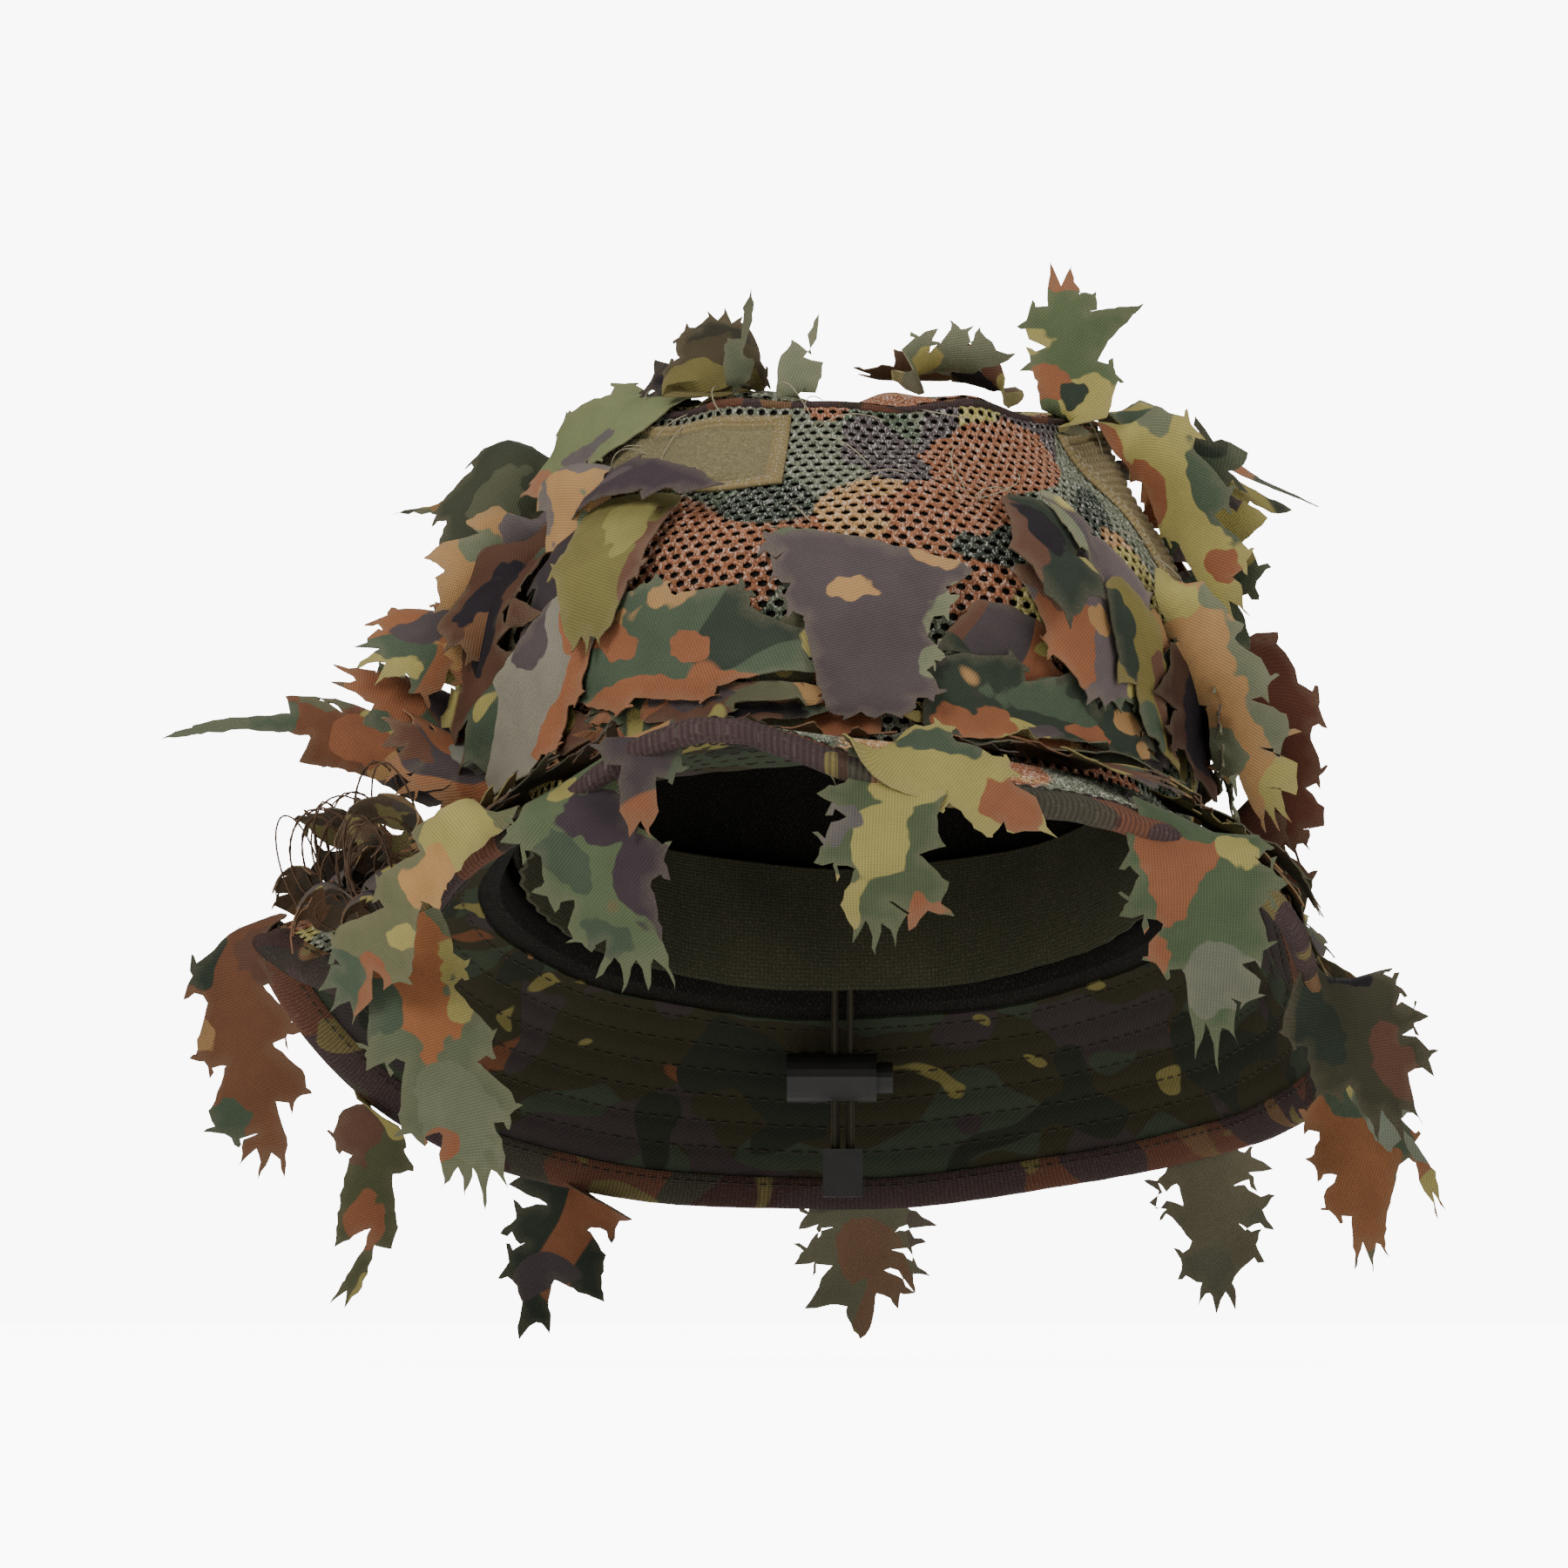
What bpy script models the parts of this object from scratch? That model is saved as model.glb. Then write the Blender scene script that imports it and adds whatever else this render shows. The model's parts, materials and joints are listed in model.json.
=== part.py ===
"""A leaf-camouflage bush hat: a mesh crown and a layered brim, covered in cut fabric leaves that are stitched on.

Metres, +Z up, as worn with the head upright: the hat tips back by WORN_TILT. The origin is under the middle of the
hat, level with its lowest leaf tip. The front of the hat faces -Y, and +X is the wearer's left.

Every cloth layer is placed in the hat's own coordinates, which skin() turns into points:
  azimuth  degrees round the hat from the front, positive towards +X
  run      millimetres along the cloth from the brim seam: negative up the crown, positive out along the brim,
           and past BRIM_WIDTH it hangs straight down from the brim's edge
  lift     millimetres off the outer face of the cloth
"""

import functools
import math

import bmesh
import bpy
from mathutils import Matrix, Vector

MM = 0.001

# Driving dimensions, in millimetres and degrees
# The centre of the head opening, level with the brim seam, measured from the origin
OPENING_PLACE = (14, 18.5, 109.3)
HEAD_WIDTH, HEAD_LENGTH = 164, 202
CROWN_TOP_WIDTH, CROWN_TOP_LENGTH = 124, 156
CROWN_BULGE = 13
CROWN_CENTRE_HEIGHT = 110
# Height of the crown's rim above the brim seam, every 30 degrees from the front round by the wearer's left
CROWN_RIM_HEIGHT = (94, 98, 107, 111, 110, 108, 107, 108, 110, 111, 107, 98)
SHOULDER_RADIUS = 7
BRIM_WIDTH = 59
# How far the brim's edge sits below its seam, every 30 degrees from the front round by the wearer's left
BRIM_DROP = (24, 28, 45, 48, 44, 42, 45, 47, 40, 12, 44, 27)
FRONT_WAVE_AZIMUTH, FRONT_WAVE_WIDTH, FRONT_WAVE_RISE = -12, 11, 12
WORN_TILT = 12
HANG_LEAN = 0.08
HANG_LENGTH = 80

CLOTH = 1.0
TAPE = 0.6
LAYER_GAP = 0.6
SEAM_GAP = 0.6
RING_STEPS = 48
LEAF_THICKNESS = 0.6
FIRST_LEAF_LIFT = 2.4
LEAF_LAYER_STEP = 1.6

CORD_RADIUS = 1.2
CORD_SPACING = 2.0
TAIL_LENGTH = 52

# Lift of the middle of each cloth layer
WALL_LIFT = -CLOTH / 2
INTERLINING_LIFT = WALL_LIFT - CLOTH / 2 - LAYER_GAP - TAPE / 2
LOWER_BRIM_LIFT = INTERLINING_LIFT - TAPE / 2 - LAYER_GAP - TAPE / 2
SWEATBAND_LIFT = -6.6
CORD_LIFT = -4.3
CORD_RUN = -9

COLOURS = {
    "mesh": ((0.16, 0.17, 0.10), 0.9, 0.0),
    "twill": ((0.10, 0.10, 0.06), 0.85, 0.0),
    "leaf": ((0.22, 0.20, 0.12), 0.8, 0.0),
    "binding": ((0.09, 0.06, 0.05), 0.8, 0.0),
    "loop_pile": ((0.25, 0.20, 0.12), 0.95, 0.0),
    "sweatband": ((0.12, 0.12, 0.08), 0.9, 0.0),
    "interlining": ((0.5, 0.5, 0.46), 0.9, 0.0),
    "cord": ((0.06, 0.05, 0.03), 0.8, 0.0),
    "lock_plastic": ((0.05, 0.05, 0.04), 0.5, 0.0),
    "spring_steel": ((0.55, 0.55, 0.55), 0.3, 1.0),
}

# Leaves stitched along the crown and brim: name, azimuth, run of the root, heading (0 runs down the cloth, 90 runs
# towards +azimuth), length, width. One that lies over another goes on a higher layer.
LAID_LEAVES = (
    ("leaf_crown_front", 3, -63, 0, 54, 58),
    ("leaf_crown_front_left", -24, -56, -12, 44, 38),
    ("leaf_crown_front_left_upper", -30, -84, 6, 42, 34),
    ("leaf_crown_front_right", 33, -72, 6, 50, 40),
    ("leaf_crown_left_upper", -58, -104, -8, 46, 38),
    ("leaf_crown_left_shoulder", -84, -112, 0, 52, 36),
    ("leaf_crown_left_side", -92, -74, 0, 64, 44),
    ("leaf_crown_left_low", -60, -58, -14, 46, 34),
    ("leaf_crown_right_side", 76, -78, 0, 70, 36),
    ("leaf_crown_right_back", 108, -100, 6, 66, 40),
    ("leaf_crown_back_left", -124, -104, 0, 60, 42),
    ("leaf_crown_back_left_low", -150, -62, 0, 54, 42),
    ("leaf_crown_back", 180, -108, 4, 60, 44),
    ("leaf_crown_back_right", 146, -104, 0, 58, 42),
    ("leaf_crown_back_right_low", 160, -58, 0, 50, 38),
    ("leaf_top_back", 165, -154, 0, 38, 30),
    ("leaf_brim_front_right", 31, 8, 20, 38, 36),
    ("leaf_brim_front_left", -42, 9, -30, 42, 26),
    ("leaf_brim_left", -82, 8, 0, 39, 40),
    ("leaf_brim_right", 66, 8, 6, 39, 36),
    ("leaf_brim_back_left", -128, 8, 0, 39, 44),
    ("leaf_brim_back", 176, 8, 0, 39, 44),
    ("leaf_brim_back_right", 128, 8, 0, 39, 44),
)

# Leaves stitched by one end beside the binding, so that they hang and swing: name, azimuth, length, width
HANGING_LEAVES = (
    ("leaf_hang_front_left", -23, 54, 30),
    ("leaf_hang_front", 4, 46, 36),
    ("leaf_hang_front_right", 29, 56, 36),
    ("leaf_hang_left_front", -42, 46, 30),
    ("leaf_hang_left", -84, 66, 32),
    ("leaf_hang_left_back", -118, 56, 28),
    ("leaf_hang_back_left", -150, 50, 28),
    ("leaf_hang_back", 178, 46, 30),
    ("leaf_hang_back_right", 138, 48, 28),
    ("leaf_hang_right", 94, 54, 36),
    ("leaf_hang_right_front", 60, 50, 34),
)
HANG_ROOT_RUN = 50

# Leaves stitched by one end that stand off the hat: name, azimuth, run of the root, direction in the hat as worn,
# length, width
STANDING_LEAVES = (
    ("leaf_stand_top_right", 52, -116, (0.05, -0.1, 1.0), 34, 28),
    ("leaf_stand_top_left", -24, -112, (0.05, 0.05, 1.0), 23, 26),
    ("leaf_stand_top_middle", 62, -132, (-0.4, 0.2, 0.42), 34, 22),
    ("leaf_stand_right_shoulder", 80, -108, (0.92, -0.05, -0.24), 54, 40),
    ("leaf_stand_left_shoulder", -80, -108, (-0.86, 0.0, 0.22), 38, 32),
    ("leaf_stand_left_brim", -80, -22, (-0.92, -0.1, 0.3), 62, 26),
    ("leaf_stand_right_back", 96, -34, (0.75, 0.0, 0.36), 34, 34),
)


def clear_scene():
    for thing in list(bpy.data.objects):
        bpy.data.objects.remove(thing)


def collection(name):
    made = bpy.data.collections.new(name)
    bpy.context.scene.collection.children.link(made)
    return made


def material(name):
    colour, roughness, metallic = COLOURS[name]
    made = bpy.data.materials.get(name) or bpy.data.materials.new(name)
    made.use_nodes = True
    shader = made.node_tree.nodes["Principled BSDF"]
    shader.inputs["Base Color"].default_value = (*colour, 1)
    shader.inputs["Roughness"].default_value = roughness
    shader.inputs["Metallic"].default_value = metallic
    return made


def finish(thing, name, material_name, parent=None):
    thing.name = name
    thing.data.name = name
    thing.data.materials.append(material(material_name))
    if parent:
        thing.parent = parent
    for owner in list(thing.users_collection):
        owner.objects.unlink(thing)
    bpy.data.collections["bush_hat"].objects.link(thing)
    return thing


def ellipse_radius(azimuth, width, length):
    """Distance from the axis of an ellipse in the direction of this azimuth, in radians."""
    half_width, half_length = width / 2, length / 2
    across, along = half_length * math.sin(azimuth), half_width * math.cos(azimuth)
    return half_width * half_length / math.hypot(across, along)


def smooth_ring(values, azimuth):
    """Periodic Catmull-Rom interpolation of values spaced evenly round the hat, at an azimuth in degrees."""
    place = azimuth / 360 * len(values)
    i, t = math.floor(place), place - math.floor(place)
    before, start, end, after = (values[(i + k) % len(values)] for k in (-1, 0, 1, 2))
    cubic = 3 * (start - end) + after - before
    square = 2 * before - 5 * start + 4 * end - after
    return start + 0.5 * t * (end - before + t * (square + t * cubic))


def brim_drop(azimuth):
    away = (azimuth - FRONT_WAVE_AZIMUTH + 180) % 360 - 180
    wave = FRONT_WAVE_RISE * math.exp(-((away / FRONT_WAVE_WIDTH) ** 2))
    return smooth_ring(BRIM_DROP, azimuth) - wave


@functools.lru_cache(maxsize=None)
def meridian(azimuth):
    """[(run, distance from the axis, height)] down the hat's outer face at this azimuth, in mm, before the tilt."""
    angle = math.radians(azimuth)
    base = ellipse_radius(angle, HEAD_WIDTH, HEAD_LENGTH)
    top = ellipse_radius(angle, CROWN_TOP_WIDTH, CROWN_TOP_LENGTH)
    height = smooth_ring(CROWN_RIM_HEIGHT, azimuth)
    points = []
    flat = top - SHOULDER_RADIUS
    for k in range(6):
        out = k / 6
        points.append((flat * out, height + (CROWN_CENTRE_HEIGHT - height) * (1 - out**2)))
    for k in range(5):
        turn = math.radians(60 * k / 4)
        drop = SHOULDER_RADIUS * (1 - math.cos(turn))
        points.append((flat + SHOULDER_RADIUS * math.sin(turn), height - drop))
    shoulder, rim = points[-1]
    for k in range(1, 11):
        down = k / 10
        bulge = CROWN_BULGE * math.sin(math.pi * down) ** 2
        points.append((shoulder + (base - shoulder) * down + bulge, rim * (1 - down)))
    seam = len(points) - 1
    drop = brim_drop(azimuth)
    reach = math.sqrt(BRIM_WIDTH**2 - drop**2) * 0.97
    for k in range(1, 9):
        out = k / 8
        points.append((base + reach * out, -drop * out**1.5))
    # A little past the edge the cloth turns down and hangs plumb as worn, leaning out slightly.
    slope = math.atan2(points[-1][1] - points[-2][1], points[-1][0] - points[-2][0])
    tilt = math.radians(WORN_TILT)
    plumb = math.atan2(-math.cos(tilt), -math.sin(tilt) * math.cos(angle) + HANG_LEAN)
    step = HANG_LENGTH / 16
    for k in range(1, 17):
        heading = slope + (plumb - slope) * min(1, (k - 1) / 3)
        away, height = points[-1]
        points.append((away + step * math.cos(heading), height + step * math.sin(heading)))
    runs = [0.0]
    for (a, b), (c, d) in zip(points, points[1:]):
        runs.append(runs[-1] + math.hypot(c - a, d - b))
    return [(run - runs[seam], *point) for run, point in zip(runs, points)]


def rim_run(azimuth):
    """The run of the seam between the crown's wall and its top."""
    return meridian(round(azimuth, 3))[6][0] + SHOULDER_RADIUS


def skin(azimuth, run, lift):
    """The point at these hat coordinates, in metres, before the tilt."""
    azimuth = round(azimuth, 3)
    points = meridian(azimuth)
    if run - points[0][0] < 1e-3:
        return Vector((0, 0, CROWN_CENTRE_HEIGHT + lift)) * MM
    k = 0
    while k < len(points) - 2 and points[k + 1][0] < run:
        k += 1
    (run_a, out_a, up_a), (run_b, out_b, up_b) = points[k], points[k + 1]
    t = (run - run_a) / (run_b - run_a)
    ahead, behind = points[min(k + 2, len(points) - 1)], points[max(k - 1, 0)]
    normals = []
    for (_, a, b), (_, c, d) in ((behind, points[k + 1]), (points[k], ahead)):
        long = math.hypot(c - a, d - b)
        normals.append(((b - d) / long, (c - a) / long))
    across = normals[0][0] * (1 - t) + normals[1][0] * t
    up = normals[0][1] * (1 - t) + normals[1][1] * t
    long = math.hypot(across, up)
    away = out_a + (out_b - out_a) * t + lift * across / long
    height = up_a + (up_b - up_a) * t + lift * up / long
    angle = math.radians(azimuth)
    return Vector((away * math.sin(angle), -away * math.cos(angle), height)) * MM


def as_worn(point):
    """A point before the tilt, moved to where it is as worn."""
    return Vector(OPENING_PLACE) * MM + Matrix.Rotation(-math.radians(WORN_TILT), 3, "X") @ point


def before_tilt(direction):
    return Matrix.Rotation(math.radians(WORN_TILT), 3, "X") @ Vector(direction)


def sheet(name, columns, rows, place, thickness, material_name, parent, closed=False):
    """A cloth piece: a grid bent by place(across, along), each 0 to 1, given thickness by Solidify."""
    mesh = bpy.data.meshes.new(name)
    grid = bmesh.new()
    bmesh.ops.create_grid(grid, x_segments=columns, y_segments=rows, size=0.5)
    for vertex in grid.verts:
        vertex.co = place(vertex.co.x + 0.5, vertex.co.y + 0.5)
    if closed:
        bmesh.ops.remove_doubles(grid, verts=grid.verts, dist=1e-6)
    bmesh.ops.recalc_face_normals(grid, faces=grid.faces)
    grid.to_mesh(mesh)
    grid.free()
    thing = bpy.data.objects.new(name, mesh)
    bpy.context.scene.collection.objects.link(thing)
    thick = thing.modifiers.new("cloth", "SOLIDIFY")
    thick.thickness = thickness * MM
    thick.offset = 0
    thick.use_even_offset = True
    mesh.shade_smooth()
    return finish(thing, name, material_name, parent)


def band(name, runs, lift, thickness, material_name, parent, start=-180, end=180, rows=4, steps=RING_STEPS):
    """A strip of cloth that follows the hat from azimuth start to end, between two runs."""
    whole = end - start >= 360
    count = steps if whole else max(2, round(steps * (end - start) / 360))

    def place(across, along):
        azimuth = start + (end - start) * across
        if whole and across > 1 - 1e-6:
            azimuth = start
        low, high = (run(azimuth) if callable(run) else run for run in runs)
        return skin(azimuth, low + (high - low) * along, lift)

    return sheet(name, count, rows, place, thickness, material_name, parent, closed=whole)


def ring_tube(name, run, lift, radius, material_name, parent):
    """A closed cord that follows the hat at one run."""
    curve = bpy.data.curves.new(name, "CURVE")
    curve.dimensions = "3D"
    curve.bevel_depth = radius * MM
    curve.bevel_resolution = 1
    spline = curve.splines.new("POLY")
    spline.points.add(RING_STEPS - 1)
    for k, point in enumerate(spline.points):
        azimuth = 360 * k / RING_STEPS - 180
        point.co = (*skin(azimuth, run(azimuth), lift), 1)
    spline.use_cyclic_u = True
    thing = bpy.data.objects.new(name, curve)
    bpy.context.scene.collection.objects.link(thing)
    return finish(thing, name, material_name, parent)


def make_crown(tilt):
    piping = 1.5
    edge = piping + SEAM_GAP
    wall_top = lambda azimuth: rim_run(azimuth) + edge
    top_edge = lambda azimuth: rim_run(azimuth) - edge
    centre = lambda azimuth: meridian(round(azimuth, 3))[0][0]
    wall = (wall_top, -SEAM_GAP / 2)
    split = 0.3
    band("crown_front_panel", wall, WALL_LIFT, CLOTH, "mesh", tilt, -90 + split, 90 - split, rows=10)
    band("crown_back_panel", wall, WALL_LIFT, CLOTH, "mesh", tilt, 90 + split, 270 - split, rows=10)
    band("crown_top_panel", (centre, top_edge), WALL_LIFT, CLOTH, "mesh", tilt, rows=5)
    ring_tube("crown_top_piping", rim_run, WALL_LIFT, piping, "binding", tilt)
    tape_lift = WALL_LIFT - CLOTH / 2 - LAYER_GAP - TAPE / 2
    for side, middle in (("left", -90), ("right", 90)):
        band(f"side_seam_tape_{side}", (wall_top, -12), tape_lift, TAPE, "sweatband", tilt, middle - 4, middle + 4, rows=7)
    band("sweatband", (-33, -2), SWEATBAND_LIFT, CLOTH, "sweatband", tilt, rows=7)


def make_brim(tilt):
    layers_end = BRIM_WIDTH - 3.5
    band("brim_upper_layer", (SEAM_GAP, layers_end), WALL_LIFT, CLOTH, "mesh", tilt, rows=6)
    band("brim_interlining", (3, layers_end), INTERLINING_LIFT, TAPE, "interlining", tilt, rows=6)
    band("brim_lower_layer", (5, layers_end), LOWER_BRIM_LIFT, TAPE, "twill", tilt, rows=6)
    # The binding is a tape folded round the three layers: its section, as (run from the edge, lift)
    clear = LAYER_GAP + TAPE
    under = LOWER_BRIM_LIFT - TAPE / 2 - clear
    middle = (clear + under) / 2
    section = ((-9, clear), (-3, clear), (-0.6, middle), (-3, under), (-9, under))

    def place(across, along):
        azimuth = 0 if across > 1 - 1e-6 else 360 * across
        at_edge, lift = section[round(along * (len(section) - 1))]
        return skin(azimuth, BRIM_WIDTH + at_edge, lift)

    sheet("brim_binding", RING_STEPS, len(section) - 1, place, TAPE, "binding", tilt, closed=True)


def laid(azimuth, run, heading, lift):
    """Maps a flat piece, with u across and v along it in mm, onto the hat at this root."""
    turn = math.radians(heading)

    def place(u, v):
        run_here = run + v * math.cos(turn) - u * math.sin(turn)
        sideways = v * math.sin(turn) + u * math.cos(turn)
        away = math.hypot(*skin(azimuth, run_here, 0).xy) / MM
        return skin(azimuth + math.degrees(sideways / away), run_here, lift)

    return place


def leaf_half_width(along, width):
    """Half the width of a plain leaf: narrow at its root, full a third of the way, pointed at its tip."""
    lobe = 0.12 * math.cos(along * 5 * math.pi)
    return width / 2 * max(0.1, math.sin(math.pi * min(1, 0.12 + along * 0.86)) ** 0.6 + lobe)


def leaf_sheet(name, place, length, width, parent, rows=6):
    def bend(across, along):
        half = leaf_half_width(along, width)
        return place((across * 2 - 1) * half, along * length)

    return sheet(name, 3, rows, bend, LEAF_THICKNESS, "leaf", parent)


def footprint(azimuth, run, heading, length, width):
    """The box round a laid leaf, as (low azimuth, high azimuth, low run, high run)."""
    turn = math.radians(heading)
    runs, sides = [], []
    for u in (-width / 2, width / 2):
        for v in (0, length):
            runs.append(run + v * math.cos(turn) - u * math.sin(turn))
            sides.append(v * math.sin(turn) + u * math.cos(turn))
    away = math.hypot(*skin(azimuth, max(min(runs), -118), 0).xy) / MM
    degrees = [math.degrees(side / away) for side in sides]
    return azimuth + min(degrees), azimuth + max(degrees), min(runs), max(runs)


def covers(a, b):
    """True if two footprints share any cloth, with a little room."""
    apart = min((a[0] - b[0]) % 360, (b[0] - a[0]) % 360)
    first = a if (b[0] - a[0]) % 360 <= 180 else b
    return apart < first[1] - first[0] + 2 and a[2] < b[3] + 2 and b[2] < a[3] + 2


def layer_for(mark, placed):
    """The lowest layer where a leaf with this footprint lies over every leaf already placed there."""
    under = [layer for layer, other in placed if covers(mark, other)]
    layer = max(under, default=-1) + 1
    placed.append((layer, mark))
    return layer


def make_leaves(tilt):
    placed = []
    for name, azimuth, run, heading, length, width in LAID_LEAVES:
        layer = layer_for(footprint(azimuth, run, heading, length, width), placed)
        lift = FIRST_LEAF_LIFT + LEAF_LAYER_STEP * layer
        leaf_sheet(name, laid(azimuth, run, heading, lift), length, width, tilt)
    for name, azimuth, length, width in HANGING_LEAVES:
        lift = FIRST_LEAF_LIFT
        hinge = bpy.data.objects.new("hinge_" + name, None)
        bpy.data.collections["bush_hat"].objects.link(hinge)
        hinge.parent = tilt
        hinge.location = skin(azimuth, HANG_ROOT_RUN, lift)
        leaf = leaf_sheet(name, laid(azimuth, HANG_ROOT_RUN, 0, lift), length, width, hinge, rows=8)
        leaf.location = -hinge.location
    for name, azimuth, run, direction, length, width in STANDING_LEAVES:
        mark = footprint(azimuth, run - 6, 0, 12, width)
        lift = FIRST_LEAF_LIFT + LEAF_LAYER_STEP * layer_for(mark, placed)
        root = skin(azimuth, run, lift)
        ahead = before_tilt(direction).normalized()
        angle = math.radians(azimuth)
        side = Vector((math.cos(angle), math.sin(angle), 0))
        side = (side - ahead * side.dot(ahead)).normalized()
        leaf_sheet(name, lambda u, v: root + (side * u + ahead * v) * MM, length, width, tilt, rows=5)


def make_loop_panels(tilt):
    """Hook-and-loop panels on the crown, sewn flat."""
    lift = 0.4 + CLOTH / 2
    top = lambda azimuth: rim_run(azimuth) + 4
    bottom = lambda azimuth: rim_run(azimuth) + 28
    band("loop_panel_front_left", (top, bottom), lift, CLOTH, "loop_pile", tilt, -66, -9, rows=3, steps=60)
    strip = laid(58, -106, 18, lift)
    length, width = 62, 26
    sheet(
        "loop_panel_right", 3, 6, lambda a, b: strip((a - 0.5) * width, b * length), CLOTH, "loop_pile", tilt
    )


def solid(name, mesh_maker, material_name, parent, location):
    """An object from a bmesh primitive, placed by its location."""
    mesh = bpy.data.meshes.new(name)
    shape = bmesh.new()
    mesh_maker(shape)
    shape.to_mesh(mesh)
    shape.free()
    thing = bpy.data.objects.new(name, mesh)
    bpy.context.scene.collection.objects.link(thing)
    finish(thing, name, material_name, parent)
    thing.location = location
    return thing


def cylinder_along_x(start, end, radius, segments=20):
    def make(shape):
        turn = Matrix.Translation(((start + end) / 2 * MM, 0, 0)) @ Matrix.Rotation(math.pi / 2, 4, "Y")
        bmesh.ops.create_cone(
            shape, cap_ends=True, segments=segments, radius1=radius * MM, radius2=radius * MM,
            depth=(end - start) * MM, matrix=turn,
        )

    return make


def block(low, high):
    def make(shape):
        low_corner, high_corner = Vector(low) * MM, Vector(high) * MM
        size = Matrix.Diagonal((*(high_corner - low_corner), 1))
        bmesh.ops.create_cube(shape, size=1, matrix=Matrix.Translation((low_corner + high_corner) / 2) @ size)

    return make


def cut(thing, name, mesh_maker):
    """Cuts a helper shape, given in thing's own coordinates, out of it."""
    cutter = solid(name, mesh_maker, "lock_plastic", thing.parent, thing.location)
    cutter.hide_render = True
    cutter.display_type = "WIRE"
    bpy.data.collections["bush_hat"].objects.unlink(cutter)
    bpy.data.collections["cutters"].objects.link(cutter)
    boolean = thing.modifiers.new(name, "BOOLEAN")
    boolean.operation = "DIFFERENCE"
    boolean.object = cutter


def wire(name, points, radius, material_name, resolution=1):
    """An open cord or wire through these points, in metres as worn."""
    curve = bpy.data.curves.new(name, "CURVE")
    curve.dimensions = "3D"
    curve.bevel_depth = radius * MM
    curve.bevel_resolution = resolution
    curve.use_fill_caps = True
    spline = curve.splines.new("POLY")
    spline.points.add(len(points) - 1)
    for place, point in zip(spline.points, points):
        place.co = (*point, 1)
    thing = bpy.data.objects.new(name, curve)
    bpy.context.scene.collection.objects.link(thing)
    return finish(thing, name, material_name)


def make_size_adjuster():
    """An elastic cord behind the sweatband that leaves it at the nape, and the sprung lock that holds its tails."""
    opening = math.degrees(CORD_SPACING / (HEAD_LENGTH / 2))
    count = 44
    start = as_worn(skin(180 + opening, CORD_RUN, CORD_LIFT))
    bottom = start.z - TAIL_LENGTH * MM
    ring = []
    for k in range(count + 1):
        azimuth = -180 + opening + (360 - 2 * opening) * k / count
        ring.append(as_worn(skin(azimuth, CORD_RUN, CORD_LIFT)))
    first, last = ring[0].copy(), ring[-1].copy()
    first.z, last.z = bottom, bottom
    wire("drawcord", [first, *ring, last], CORD_RADIUS, "cord")

    middle = Vector((OPENING_PLACE[0] * MM, start.y, bottom + TAIL_LENGTH * 0.45 * MM))
    room, slot_y = 0.6, CORD_RADIUS + 0.5
    slot_x = CORD_SPACING + CORD_RADIUS + room
    press, bore, plunger = 3.5, 4.4, 4.0
    barrel = solid("cord_lock_barrel", cylinder_along_x(-14, 8.5, 6.2), "lock_plastic", None, middle)
    cut(barrel, "barrel_bore", cylinder_along_x(-12.6, 12, bore))
    cut(barrel, "barrel_slot", block((-slot_x, -slot_y, -10), (slot_x, slot_y, 10)))
    button = solid("cord_lock_plunger", cylinder_along_x(-5.6, 12.6, plunger), "lock_plastic", None, middle)
    cut(button, "plunger_slot", block((-slot_x, -slot_y, -10), (slot_x + press, slot_y, 10)))
    turns, per_turn, spring_radius, spring_wire = 3, 10, 2.6, 0.35
    coil = []
    for k in range(turns * per_turn + 1):
        angle = 2 * math.pi * k / per_turn
        along = -12 + 5.8 * k / (turns * per_turn)
        offset = Vector((along, spring_radius * math.cos(angle), spring_radius * math.sin(angle)))
        coil.append(middle + offset * MM)
    wire("cord_lock_spring", coil, spring_wire, "spring_steel", resolution=0)
    bead = solid("cord_end_bead", block((-5, -3.4, -6), (5, 3.4, 6)), "lock_plastic", None, middle)
    bead.location = (middle.x, start.y, bottom - 0.5 * MM)
    cut(bead, "bead_socket", block((-slot_x, -slot_y, 0), (slot_x, slot_y, 8)))


def main():
    clear_scene()
    collection("bush_hat")
    collection("cutters")
    tilt = bpy.data.objects.new("worn_tilt", None)
    bpy.data.collections["bush_hat"].objects.link(tilt)
    tilt.location = Vector(OPENING_PLACE) * MM
    tilt.rotation_euler.x = -math.radians(WORN_TILT)
    make_crown(tilt)
    make_brim(tilt)
    make_loop_panels(tilt)
    make_leaves(tilt)
    make_size_adjuster()
    bpy.context.view_layer.update()


main()
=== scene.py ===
"""The looks of the leaf-camouflage bush hat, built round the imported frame.

Cloth is placed in the hat's own coordinates, as in the CAD: azimuth in degrees from the front towards +X, run in
millimetres along the cloth from the brim seam (negative up the crown, positive out along the brim and then hanging
down past its edge), and lift in millimetres off the outer face of the cloth. skin() turns these into world metres.
"""

import json
import math
import random

import bmesh
import bpy
import numpy as np
from mathutils import Matrix, Vector
from mathutils.geometry import delaunay_2d_cdt


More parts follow.
